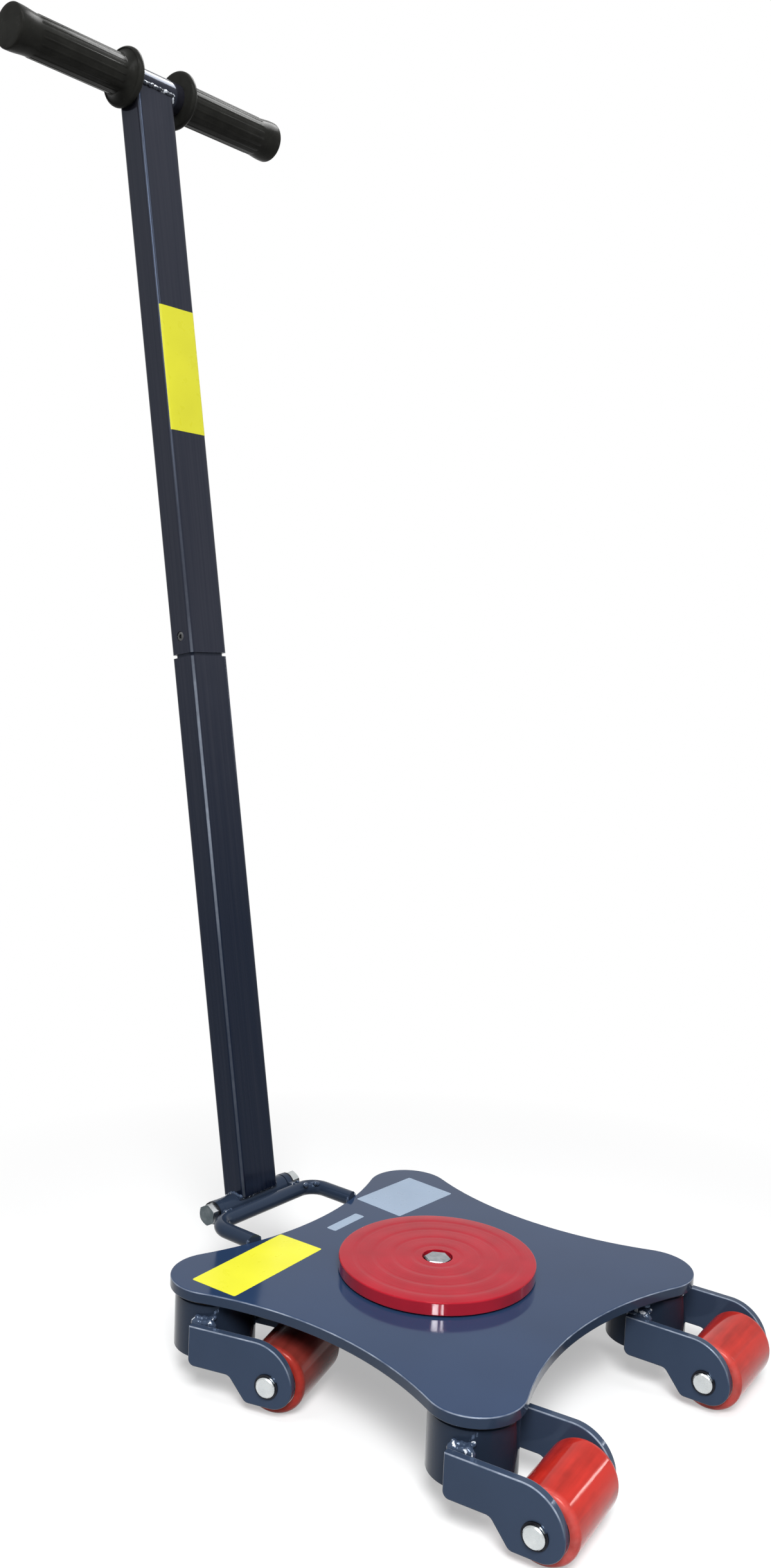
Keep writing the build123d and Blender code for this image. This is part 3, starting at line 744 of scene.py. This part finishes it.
def draw_chain(points):
    """Start a mesh with a chain of edges through the points, and leave it in edit mode."""
    start_clean()
    bpy.ops.mesh.primitive_plane_add(size=0.01, location=points[0])
    bpy.ops.object.mode_set(mode="EDIT")
    bpy.ops.mesh.select_all(action="SELECT")
    bpy.ops.mesh.merge(type="CENTER")
    for start, end in zip(points, points[1:]):
        step = Vector(end) - Vector(start)
        bpy.ops.mesh.extrude_region_move(TRANSFORM_OT_translate={"value": step})
    bpy.ops.mesh.select_all(action="SELECT")


def spin_chain(points, axis, steps):
    """Turn a closed outline about an axis through the origin, to a closed shell."""
    draw_chain(points)
    bpy.ops.mesh.spin(steps=steps, angle=2 * pi, center=(0, 0, 0), axis=axis)
    bpy.ops.mesh.select_all(action="SELECT")
    bpy.ops.mesh.remove_doubles(threshold=0.000002)
    bpy.ops.mesh.delete_loose()
    bpy.ops.mesh.select_all(action="SELECT")
    bpy.ops.mesh.normals_make_consistent(inside=False)
    bpy.ops.object.mode_set(mode="OBJECT")
    apply_place()


def arc(middle, radius, start, end, count):
    """Points on an arc in a plane, from one angle in degrees to another."""
    angles = [radians(start + (end - start) * step / count) for step in range(count + 1)]
    return [(middle[0] + radius * cos(angle), middle[1] + radius * sin(angle)) for angle in angles]


def place_copy(master, name, spot, angle):
    """Copy a piece with a mesh of its own, turned about Z and moved to its spot."""
    start_clean()
    master.select_set(True)
    bpy.context.view_layer.objects.active = master
    apply_place()
    bpy.ops.object.duplicate(linked=False)
    copy = bpy.context.object
    copy.name = name
    copy.rotation_euler.z = angle
    copy.location = spot


def remove(piece):
    """Delete a master that only its copies are kept of."""
    start_clean()
    piece.select_set(True)
    bpy.ops.object.delete()


def finish_piece(name, finish, body, nodes=(), angle=35):
    """Name, shade and paint the active mesh, and hang it on its body in place of the nodes."""
    piece = bpy.context.object
    bpy.ops.object.mode_set(mode="OBJECT")
    apply_place()
    bpy.ops.object.shade_smooth_by_angle(angle=radians(angle))
    piece.name = piece.data.name = name
    piece.data.materials.clear()
    piece.data.materials.append(bpy.data.materials[finish])
    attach(piece, body)
    if nodes:
        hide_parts(*nodes)


class DOLLY_OT_paint_nodes(Operator):
    """Gives every node of the frame the finish of its material slot"""

    bl_idname = "dolly.paint_nodes"
    bl_label = "Paint the frame"

    def execute(self, context):
        paint = context.scene.dolly_paint
        finishes = make_finishes(paint)
        for node, piece in frame["nodes"].items():
            kind = node
            for corner in CORNERS:
                kind = kind.removesuffix(f"_{corner}")
            name = next(name for name in (node, kind, SLOTS[node]) if name in finishes)
            piece.data.materials.clear()
            piece.data.materials.append(finishes[name])
        make_weld("frame_weld", paint.slate, paint)
        make_weld("handle_weld", paint.handle_head, paint)
        make_label("yellow_vinyl", paint.yellow)
        make_label("silver_foil", paint.silver)
        return {"FINISHED"}


class DOLLY_OT_turn_disc(Operator):
    """Turns the disc of the turntable, with soft rings in its face"""

    bl_idname = "dolly.turn_disc"
    bl_label = "Turntable disc"

    def execute(self, context):
        low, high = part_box("turntable_disc")
        race_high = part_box("upper_race")[1]
        radius, bottom = high.x, low.z
        bush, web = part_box("centre_bush")[1].x + 0.00005, bottom + 0.004
        pocket, pocket_edge = 0.014, 0.0004
        recess_inner, recess_outer, roof = 0.033, race_high.x + 0.001, race_high.z
        ring_radii, ring_half_depth = (0.022, 0.040, 0.058, 0.076), 0.00008
        ring_step, ring_steps = 0.0009, 4
        top_round, foot_round, hold = 0.0012, 0.0008, 0.0003
        face = [(bush, bottom), (bush, web), (pocket, web)]
        face += [(pocket, -pocket_edge), (pocket + pocket_edge, 0)]
        for ring in ring_radii:
            for step in range(-ring_steps, ring_steps + 1):
                depth = ring_half_depth * (1 + cos(pi * step / ring_steps))
                face.append((ring + ring_step * step, -depth))
        face += arc((radius - top_round, -top_round), top_round, start=90, end=0, count=5)
        face += [(radius, -top_round - hold), (radius, bottom + foot_round + hold)]
        face += arc((radius - foot_round, bottom + foot_round), foot_round, start=0, end=-90, count=3)
        face += [(recess_outer, bottom), (recess_outer, roof), (recess_inner, roof), (recess_inner, bottom)]
        face.append(face[0])
        spin_chain([(place, 0, level) for place, level in face], axis=(0, 0, 1), steps=144)
        finish_piece("turntable_plate", "red_enamel", "turntable", ["turntable_disc"])
        return {"FINISHED"}


class DOLLY_OT_cast_treads(Operator):
    """Casts one roller tread and copies it to the four axles"""

    bl_idname = "dolly.cast_treads"
    bl_label = "Roller treads"

    def execute(self, context):
        half, radius, bore, edge, hold = 0.0408, 0.030, 0.023, 0.005, 0.0003
        outline = [(-half, bore)]
        outline += arc((-half + edge, radius - edge), edge, start=180, end=90, count=8)
        outline += [(edge + hold - half, radius), (half - edge - hold, radius)]
        outline += arc((half - edge, radius - edge), edge, start=90, end=0, count=8)
        outline += [(half, bore), (-half, bore)]
        spin_chain([(length, 0, height) for length, height in outline], axis=(1, 0, 0), steps=96)
        master = context.object
        for corner in CORNERS:
            axle = JOINTS[f"roll_{corner}"]["pos_m"]
            place_copy(master, f"tread_{corner}", axle, axle_angle(corner))
            finish = f"red_polyurethane_{corner}"
            node = f"roller_tread_{corner}"
            finish_piece(f"tread_{corner}", finish, f"roller_{corner}", [node])
        remove(master)
        return {"FINISHED"}


class DOLLY_OT_mould_grips(Operator):
    """Moulds one grip, with its guard, ribbed barrel and swollen end, and copies it to both sides"""

    bl_idname = "dolly.mould_grips"
    bl_label = "Grips"

    def execute(self, context):
        low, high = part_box("cross_bar")
        middle = (low + high) / 2
        guard, end = (corner.x - middle.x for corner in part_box("grip_right"))
        rim, bulge, barrel = 0.02995, 0.0215, 0.0199
        bore, bar_end = (high.z - low.z) / 2 + 0.00005, high.x - middle.x + 0.0001
        ribs = (guard + 0.016, end - 0.027)
        back, front, cove = 0.003, 0.004, 0.0087
        front_middle, cove_middle = guard + 0.0035, guard + 0.0152
        swell_length, swell_steps = 0.022, 8
        end_round, end_setback, holds = 0.0018, 0.0020, (0.004, 0.005)
        outline = [(guard, bore), (guard, rim - back)]
        outline += arc((guard + back, rim - back), back, start=180, end=90, count=6)
        outline += arc((front_middle, rim - front), front, start=90, end=20, count=6)
        outline += arc((cove_middle, barrel + cove), cove, start=190, end=270, count=8)
        outline += [(ribs[0], barrel), (ribs[1], barrel)]
        for step in range(1, swell_steps + 1):
            swell = (1 - cos(pi * step / swell_steps)) / 2
            outline.append((ribs[1] + swell_length * step / swell_steps, barrel + (bulge - barrel) * swell))
        outline += arc((end - end_setback, bulge - end_round), end_round, start=80, end=5, count=6)
        outline += [(end, bulge - hold) for hold in holds]
        outline += [(end, 0), (bar_end, 0), (bar_end, bore), (guard, bore)]
        spin_chain([(place, 0, height) for place, height in outline], axis=(1, 0, 0), steps=GRIP_STRIPS)
        master = context.object
        self.raise_ribs(master, ribs)
        for name, turn in (("grip_left", pi), ("grip_right", 0)):
            place_copy(master, f"{name}_moulding", middle, turn)
            finish_piece(f"{name}_moulding", "moulded_rubber", "handle", [name], angle=50)
        remove(master)
        return {"FINISHED"}

    def raise_ribs(self, grip, ribs):
        """Raise the barrel's strips that make the ribs, between two places, in two rounded steps."""
        insets = ((0.0003, 0.0003), (0.0004, 0.00012))
        bpy.ops.object.mode_set(mode="EDIT")
        bpy.ops.mesh.select_all(action="DESELECT")
        bpy.ops.mesh.select_mode(type="FACE")
        bpy.ops.object.mode_set(mode="OBJECT")
        for strip in grip.data.polygons:
            around = round(atan2(strip.center.z, strip.center.y) / (2 * pi) * GRIP_STRIPS - 0.5)
            outward = Vector((0, strip.center.y, strip.center.z)).normalized()
            outside = strip.normal.dot(outward) > 0.5
            on_barrel = ribs[0] < strip.center.x < ribs[1]
            strip.select = outside and on_barrel and around % RIB_PITCH < RIB_STRIPS
        bpy.ops.object.mode_set(mode="EDIT")
        for width, height in insets:
            bpy.ops.mesh.inset(thickness=width, depth=height)
        bpy.ops.mesh.select_mode(type="VERT")
        bpy.ops.object.mode_set(mode="OBJECT")


class DOLLY_OT_stick_labels(Operator):
    """Sticks the blank labels on the deck and the handle"""

    bl_idname = "dolly.stick_labels"
    bl_label = "Labels"

    def execute(self, context):
        labels = context.scene.dolly_labels
        for label in DECK_LABELS:
            self.stick_on_deck(labels, *label)
        self.stick_on_tube(labels)
        return {"FINISHED"}

    def stick_on_deck(self, labels, name, finish, middle, size, angle):
        """Flat label with round corners."""
        start_clean()
        bpy.ops.mesh.primitive_plane_add(size=1, location=(*middle, DECK_TOP))
        bpy.ops.object.mode_set(mode="EDIT")
        bpy.ops.mesh.select_all(action="SELECT")
        bpy.ops.transform.resize(value=(*size, 1), center_override=(*middle, DECK_TOP))
        bpy.ops.mesh.bevel(offset=labels.corner, offset_type="OFFSET", segments=5, affect="VERTICES")
        bpy.ops.mesh.select_all(action="SELECT")
        bpy.ops.mesh.extrude_region_move(TRANSFORM_OT_translate={"value": (0, 0, labels.thickness)})
        bpy.ops.mesh.select_all(action="SELECT")
        bpy.ops.mesh.normals_make_consistent(inside=False)
        bpy.context.object.rotation_euler.z = radians(angle)
        finish_piece(name, finish, "deck")

    def stick_on_tube(self, labels):
        """Label on the front of the upper tube, with its long edges laid round the corners."""
        skin = TUBE_CORNER + 0.00002
        side, depth = TUBE_HALF_WIDTH - TUBE_CORNER, TUBE_CORNER - TUBE_HALF_DEPTH
        front, lap = 270, 42
        left = arc((-side, depth), skin, start=front - lap, end=front, count=4)
        right = arc((side, depth), skin, start=front, end=front + lap, count=4)
        draw_chain([(x, y, labels.tube_start) for x, y in left + right])
        step = (0, 0, labels.tube_length)
        bpy.ops.mesh.extrude_region_move(TRANSFORM_OT_translate={"value": step})
        bpy.ops.mesh.select_all(action="SELECT")
        bpy.ops.mesh.normals_make_consistent(inside=False)
        bpy.ops.object.mode_set(mode="OBJECT")
        thicken = bpy.context.object.modifiers.new("thicken", "SOLIDIFY")
        thicken.thickness = labels.thickness
        thicken.offset = 1.0
        bpy.ops.object.modifier_apply(modifier=thicken.name)
        onto_handle()
        finish_piece("handle_label", "yellow_vinyl", "handle")


def lay_bead(drops, skin):
    """Melt overlapping drops of weld metal, given by place and radius, into one bead."""
    stray, smallest, largest = 0.22, 0.86, 1.12
    start_clean()
    chance = Random(5)
    for number, (place, radius) in enumerate(drops):
        wander = Vector([chance.uniform(-stray, stray) * radius for _ in range(3)])
        size = radius * chance.uniform(smallest, largest)
        bpy.ops.mesh.primitive_ico_sphere_add(subdivisions=2, radius=size, location=Vector(place) + wander)
        if number == 0:
            apply_place()
            bpy.ops.object.mode_set(mode="EDIT")
    bpy.ops.object.mode_set(mode="OBJECT")
    bead = bpy.context.object
    melt = bead.modifiers.new("melt", "REMESH")
    melt.mode = "VOXEL"
    melt.voxel_size = skin
    bpy.ops.object.modifier_apply(modifier=melt.name)
    ease = bead.modifiers.new("ease", "SMOOTH")
    ease.factor = 0.5
    ease.iterations = 4
    bpy.ops.object.modifier_apply(modifier=ease.name)


def drops_along(points, radius, pitch):
    """Drops at an even pitch on a path."""
    drops = []
    for start, end in zip(points, points[1:]):
        start, end = Vector(start), Vector(end)
        count = max(1, round((end - start).length / pitch))
        drops += [(start.lerp(end, step / count), radius) for step in range(count)]
    drops.append((Vector(points[-1]), radius))
    return drops


class DOLLY_OT_weld_forks(Operator):
    """Welds the fork plates to the swivel housings"""

    bl_idname = "dolly.weld_forks"
    bl_label = "Fork welds"

    def execute(self, context):
        weld = context.scene.dolly_welds
        seams, seam_pitch = ((0.0022, 0.85), (0.0172, 1.15)), 0.0032
        seam_foot, seam_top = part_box(f"swivel_housing_{CORNERS[0]}")[0].z + 0.004, FORK_TOP - 0.002
        cap_spots = (0.002, 0.005, 0.008, 0.011, 0.014, 0.017)
        cap_level, cap_bead = FORK_TOP - 0.0005, weld.fork_bead * 1.1
        wall_level, wall_bead, wall_gap = FORK_TOP + 0.0028, weld.fork_bead * 0.7, 0.0006
        drops = []
        for side in (-1, 1):
            for behind, bead in seams:
                middle = side * self.middle(weld, behind)
                path = [(middle, -behind, seam_foot), (middle, -behind, seam_top)]
                drops += drops_along(path, weld.fork_bead * bead, seam_pitch)
            for behind in cap_spots:
                drops.append(((side * self.middle(weld, behind), -behind, cap_level), cap_bead))
                wall = side * (self.housing_wall(weld, behind) + wall_gap)
                drops.append(((wall, -behind, wall_level), wall_bead))
        lay_bead(drops, weld.skin)
        master = context.object
        for corner in CORNERS:
            spot = (*JOINTS[f"swivel_{corner}"]["pos_m"][:2], 0)
            place_copy(master, f"fork_weld_{corner}", spot, axle_angle(corner))
            finish_piece(f"fork_weld_{corner}", "frame_weld", f"caster_{corner}")
        remove(master)
        return {"FINISHED"}

    def housing_wall(self, weld, behind):
        """How far the housing reaches to the side, behind the swivel's axis."""
        return sqrt(weld.neck_radius**2 - behind**2)

    def middle(self, weld, behind):
        """Middle of the gap between the housing and a plate, behind the swivel's axis."""
        return (self.housing_wall(weld, behind) + weld.plate_face) / 2


class DOLLY_OT_weld_drawbar(Operator):
    """Welds the drawbar to the deck's edge and the hinge eyes to the drawbar"""

    bl_idname = "dolly.weld_drawbar"
    bl_label = "Drawbar welds"

    def execute(self, context):
        weld = context.scene.dolly_welds
        low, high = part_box("drawbar")
        radius = (high.z - low.z) / 2
        level = (high.z + low.z) / 2
        arm, cross = high.x - radius, high.y - radius
        deck_edge_place, slant = low.y + 0.0026, 0.2
        ring_radius, ring_bead = radius - 0.0004, weld.bar_bead * 0.7
        eye_outside, eye_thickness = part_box("hinge_eyes")[1].x, 0.006
        eye_inside = eye_outside - eye_thickness
        eye_radius = radius + 0.0004
        eye_seams = ((eye_inside - 0.0002, 0.6), (eye_outside + 0.0004, 0.7))
        spatter_level = level + radius - 0.0006
        spatter = ((0.0533, 0.2101, 0.0026), (0.0629, 0.2052, 0.0028), (0.0655, 0.2035, 0.0022))
        drops = []
        for side in (-1, 1):
            for x, z in arc((0, 0), ring_radius, start=-200, end=20, count=20):
                place = (side * (arm + x), deck_edge_place + slant * x, level + z)
                drops.append((place, ring_bead))
            for x, bead in eye_seams:
                for y, z in arc((cross, level), eye_radius, start=0, end=78, count=8):
                    drops.append(((side * x, y, z), weld.bar_bead * bead))
        for x, y, bead in spatter:
            drops.append(((x, y, spatter_level), bead))
        lay_bead(drops, weld.skin)
        finish_piece("drawbar_welds", "frame_weld", "deck")
        return {"FINISHED"}


class DOLLY_OT_weld_handle(Operator):
    """Welds the handle's foot to its sleeve and the cross bar to its head"""

    bl_idname = "dolly.weld_handle"
    bl_label = "Handle welds"

    def execute(self, context):
        skin = context.scene.dolly_welds.skin
        self.weld_foot(skin)
        self.weld_head(skin)
        return {"FINISHED"}

    def weld_foot(self, skin):
        """Seams before and behind the foot, rings at its sides and a drop on each front corner."""
        low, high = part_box("pivot_sleeve")
        ring_radius = (high.z - low.z) / 2 + 0.0004
        ring_side, ring_bead = TUBE_HALF_WIDTH + 0.0002, 0.0018
        seam_half, seam_depth, seam_level = 0.0235, 0.0104, 0.0072
        seam_bead, seam_pitch = 0.0021, 0.0022
        drop_side, drop_depth, drop_level, drop_bead = TUBE_HALF_WIDTH - 0.0004, -0.0108, 0.0084, 0.0026
        drops = []
        for way in (-1, 1):
            seam = [(end * seam_half, way * seam_depth, seam_level) for end in (-1, 1)]
            drops += drops_along(seam, seam_bead, seam_pitch)
            for y, z in arc((0, 0), ring_radius, start=34, end=146, count=16):
                drops.append(((way * ring_side, y, z), ring_bead))
            drops.append(((way * drop_side, drop_depth, drop_level), drop_bead))
        lay_bead(drops, skin)
        onto_handle()
        finish_piece("foot_weld", "frame_weld", "handle")

    def weld_head(self, skin):
        """Seams before and behind the head, and rings at its sides, under the cross bar."""
        low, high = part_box("cross_bar")
        bar = (high.z - low.z) / 2
        head = ((low + high) / 2 - PIVOT).length
        ring_radius, ring_side, ring_bead = bar + 0.0006, TUBE_HALF_WIDTH + 0.0004, 0.0021
        seam_half, seam_depth = 0.024, TUBE_HALF_DEPTH + 0.0002
        seam_level = head - sqrt(bar**2 - TUBE_HALF_DEPTH**2) - 0.0012
        seam_bead, seam_pitch = 0.0024, 0.0026
        drops = []
        for way in (-1, 1):
            seam = [(end * seam_half, way * seam_depth, seam_level) for end in (-1, 1)]
            drops += drops_along(seam, seam_bead, seam_pitch)
            for y, z in arc((0, head), ring_radius, start=215, end=325, count=16):
                drops.append(((way * ring_side, y, z), ring_bead))
        lay_bead(drops, skin)
        onto_handle()
        finish_piece("head_weld", "handle_weld", "handle")


def seen_rays(tree):
    """One for the rays that show the surroundings: to the camera, in gloss and through glass."""
    path = tree.nodes.new("ShaderNodeLightPath")
    seen = path.outputs["Is Camera Ray"]
    for ray in ("Is Glossy Ray", "Is Transmission Ray"):
        either = tree.nodes.new("ShaderNodeMath")
        either.operation = "MAXIMUM"
        tree.links.new(seen, either.inputs[0])
        tree.links.new(path.outputs[ray], either.inputs[1])
        seen = either.outputs[0]
    return seen


def make_floor_finish():
    """Pale floor that holds the dolly's shadow and runs out to white."""
    finish = Finish("pale_floor", Roughness=0.9, Specular_IOR_Level=0.0)
    grain = finish.noise(scale=3.0, detail=2.0)
    pale = finish.tinted(grain, grey(0.89), grey(0.91))
    dim = finish.tinted(grain, grey(0.49), grey(0.51))
    rays = seen_rays(finish.tree)
    finish.drive("Base Color", finish.blended(rays, dim, pale))
    flat = finish.add("ShaderNodeVectorMath", {"Vector": finish.place})
    flat.operation = "LENGTH"
    reach = finish.mapped(flat.outputs["Value"], start=0.35, end=0.8, low=0.40)
    seen = finish.combined("MULTIPLY", reach, rays)
    white = finish.add("ShaderNodeEmission", {}, Color=(1, 1, 1, 1), Strength=1.0)
    shaders = {0: seen, 1: finish.shader.outputs[0], 2: white.outputs[0]}
    mix = finish.add("ShaderNodeMixShader", shaders)
    finish.tree.links.new(mix.outputs[0], finish.tree.nodes["Material Output"].inputs["Surface"])
    return finish.material


def make_world(strength):
    """White surroundings that camera, glossy and transmission rays see at full strength."""
    world = bpy.data.worlds.new("white_room")
    world.use_nodes = True
    tree = world.node_tree
    background = tree.nodes["Background"]
    background.inputs["Color"].default_value = (1, 1, 1, 1)
    level = tree.nodes.new("ShaderNodeMapRange")
    level.inputs["To Min"].default_value = strength
    tree.links.new(seen_rays(tree), level.inputs["Value"])
    tree.links.new(level.outputs[0], background.inputs["Strength"])
    return world


def add_soft_light(name, place, target, size, power, colour=(1, 1, 1)):
    """Rectangular soft light that faces a target."""
    start_clean()
    bpy.ops.object.light_add(type="AREA", location=place)
    light = bpy.context.object
    light.name = name
    light.rotation_euler = (Vector(target) - Vector(place)).to_track_quat("-Z", "Y").to_euler()
    light.data.shape = "RECTANGLE"
    light.data.size, light.data.size_y = size
    light.data.energy = power
    light.data.color = colour
    return light.data


def show_in_second_reflections(light):
    """Let a light show only where gloss mirrors gloss, as the deck does the side of the disc.

    Its power is moved to its shader but for a small share, so that few samples are spent on it.
    """
    share, past_first = 0.001, 1.5
    light.energy *= share
    light.use_nodes = True
    tree = light.node_tree
    path = tree.nodes.new("ShaderNodeLightPath")
    second = tree.nodes.new("ShaderNodeMath")
    second.operation = "GREATER_THAN"
    second.inputs[1].default_value = past_first
    strength = tree.nodes.new("ShaderNodeMath")
    strength.operation = "DIVIDE"
    strength.inputs[1].default_value = share
    tree.links.new(path.outputs["Glossy Depth"], second.inputs[0])
    tree.links.new(second.outputs[0], strength.inputs[0])
    tree.links.new(strength.outputs[0], tree.nodes["Emission"].inputs["Strength"])


class DOLLY_OT_set_stage(Operator):
    """Sets the floor, the surroundings, the lights and the camera"""

    bl_idname = "dolly.set_stage"
    bl_label = "Stage"

    def execute(self, context):
        stage = context.scene.dolly_stage
        start_clean()
        bpy.ops.mesh.primitive_plane_add(size=stage.floor_size, location=(0, 0, FLOOR_LEVEL))
        floor = context.object
        floor.name = "floor"
        floor.data.materials.append(make_floor_finish())
        context.scene.world = make_world(stage.fill_strength)
        add_soft_light(
            "ceiling_light",
            place=(-0.25, -0.55, 2.1),
            target=(0, 0, 0),
            size=(2.2, 2.2),
            power=stage.ceiling_power,
            colour=(0.86, 0.94, 1.0),
        )
        add_soft_light(
            "soft_box",
            place=(0.375, 0.38, 1.56),
            target=(0.01, 0.44, 1.12),
            size=(0.34, 0.34),
            power=stage.box_power,
        )
        add_soft_light(
            "side_light",
            place=(2.43, -1.385, 1.007),
            target=(-0.13, -0.24, -0.055),
            size=(0.08, 0.4),
            power=stage.side_power,
        )
        self.add_camera(context.scene, stage)
        context.scene.view_settings.view_transform = "Standard"
        return {"FINISHED"}

    def add_camera(self, scene, stage):
        """Stand the camera at the photograph's place and angle, with the lights that go with it."""
        yaw, pitch, roll = stage.camera_yaw, stage.camera_pitch, stage.camera_roll
        ahead = Vector((sin(yaw) * cos(pitch), cos(yaw) * cos(pitch), -sin(pitch)))
        right = ahead.cross(Vector((0, 0, 1))).normalized()
        up = right.cross(ahead)
        rolled_right = right * cos(roll) + up * sin(roll)
        rolled_up = up * cos(roll) - right * sin(roll)
        turn = Matrix((rolled_right, rolled_up, -ahead)).transposed()
        start_clean()
        bpy.ops.object.camera_add()
        camera = bpy.context.object
        camera.matrix_world = Matrix.Translation(stage.camera_place) @ turn.to_4x4()
        camera.data.sensor_fit = "AUTO"
        camera.data.sensor_width = 36.0
        camera.data.lens = stage.lens
        scene.camera = camera
        self.light_front(stage, ahead, right, up)

    def light_front(self, stage, ahead, right, up):
        """Light the camera's side: a long light above, two glints at the camera, a soft light before."""
        front = Vector((-ahead.x, -ahead.y, 0)).normalized()
        add_soft_light(
            "strip_light",
            place=front * 0.35 + Vector((0, 0, 1.7)),
            target=(0, 0, 0),
            size=(2.2, 0.12),
            power=stage.strip_power,
        )
        behind = Vector(stage.camera_place) - ahead * 0.1 + up * 0.025
        wide, narrow, height = 0.14, 0.05, 0.10
        for name, shift, width in (("glint_left", 0.005, wide), ("glint_right", 0.18, narrow)):
            glint = add_soft_light(
                name,
                place=behind + right * shift,
                target=(0, 0, 0.1),
                size=(width, height),
                power=stage.glint_power * width / (wide + narrow),
            )
            show_in_second_reflections(glint)
        soft = add_soft_light(
            "front_light",
            place=front * 1.9 + Vector((0, 0, 1.9)),
            target=front * 0.30,
            size=(1.0, 1.0),
            power=stage.front_power,
        )
        soft.spread = radians(64)


class DOLLY_PT_panel(Panel):
    """Lists the steps that dress the dolly"""

    bl_idname = "DOLLY_PT_panel"
    bl_label = "Machine dolly"
    bl_space_type = "VIEW_3D"
    bl_region_type = "UI"
    bl_category = "Dolly"

    def draw(self, context):
        for step in STEPS:
            self.layout.operator(step.bl_idname)
        for name in SETTINGS:
            group = getattr(context.scene, name)
            box = self.layout.box()
            for setting in group.__annotations__:
                box.prop(group, setting)


STEPS = (
    DOLLY_OT_paint_nodes,
    DOLLY_OT_turn_disc,
    DOLLY_OT_cast_treads,
    DOLLY_OT_mould_grips,
    DOLLY_OT_stick_labels,
    DOLLY_OT_weld_forks,
    DOLLY_OT_weld_drawbar,
    DOLLY_OT_weld_handle,
    DOLLY_OT_set_stage,
)
SETTINGS = {
    "dolly_paint": PaintSettings,
    "dolly_labels": LabelSettings,
    "dolly_welds": WeldSettings,
    "dolly_stage": StageSettings,
}
CLASSES = (*SETTINGS.values(), *STEPS, DOLLY_PT_panel)


def register():
    for item in CLASSES:
        bpy.utils.register_class(item)
    for name, group in SETTINGS.items():
        setattr(bpy.types.Scene, name, PointerProperty(type=group))


def unregister():
    for name in SETTINGS:
        delattr(bpy.types.Scene, name)
    for item in reversed(CLASSES):
        bpy.utils.unregister_class(item)


def main():
    register()
    bpy.ops.dolly.paint_nodes()
    bpy.ops.dolly.turn_disc()
    bpy.ops.dolly.cast_treads()
    bpy.ops.dolly.mould_grips()
    bpy.ops.dolly.stick_labels()
    bpy.ops.dolly.weld_forks()
    bpy.ops.dolly.weld_drawbar()
    bpy.ops.dolly.weld_handle()
    bpy.ops.dolly.set_stage()


if __name__ == "__main__":
    main()
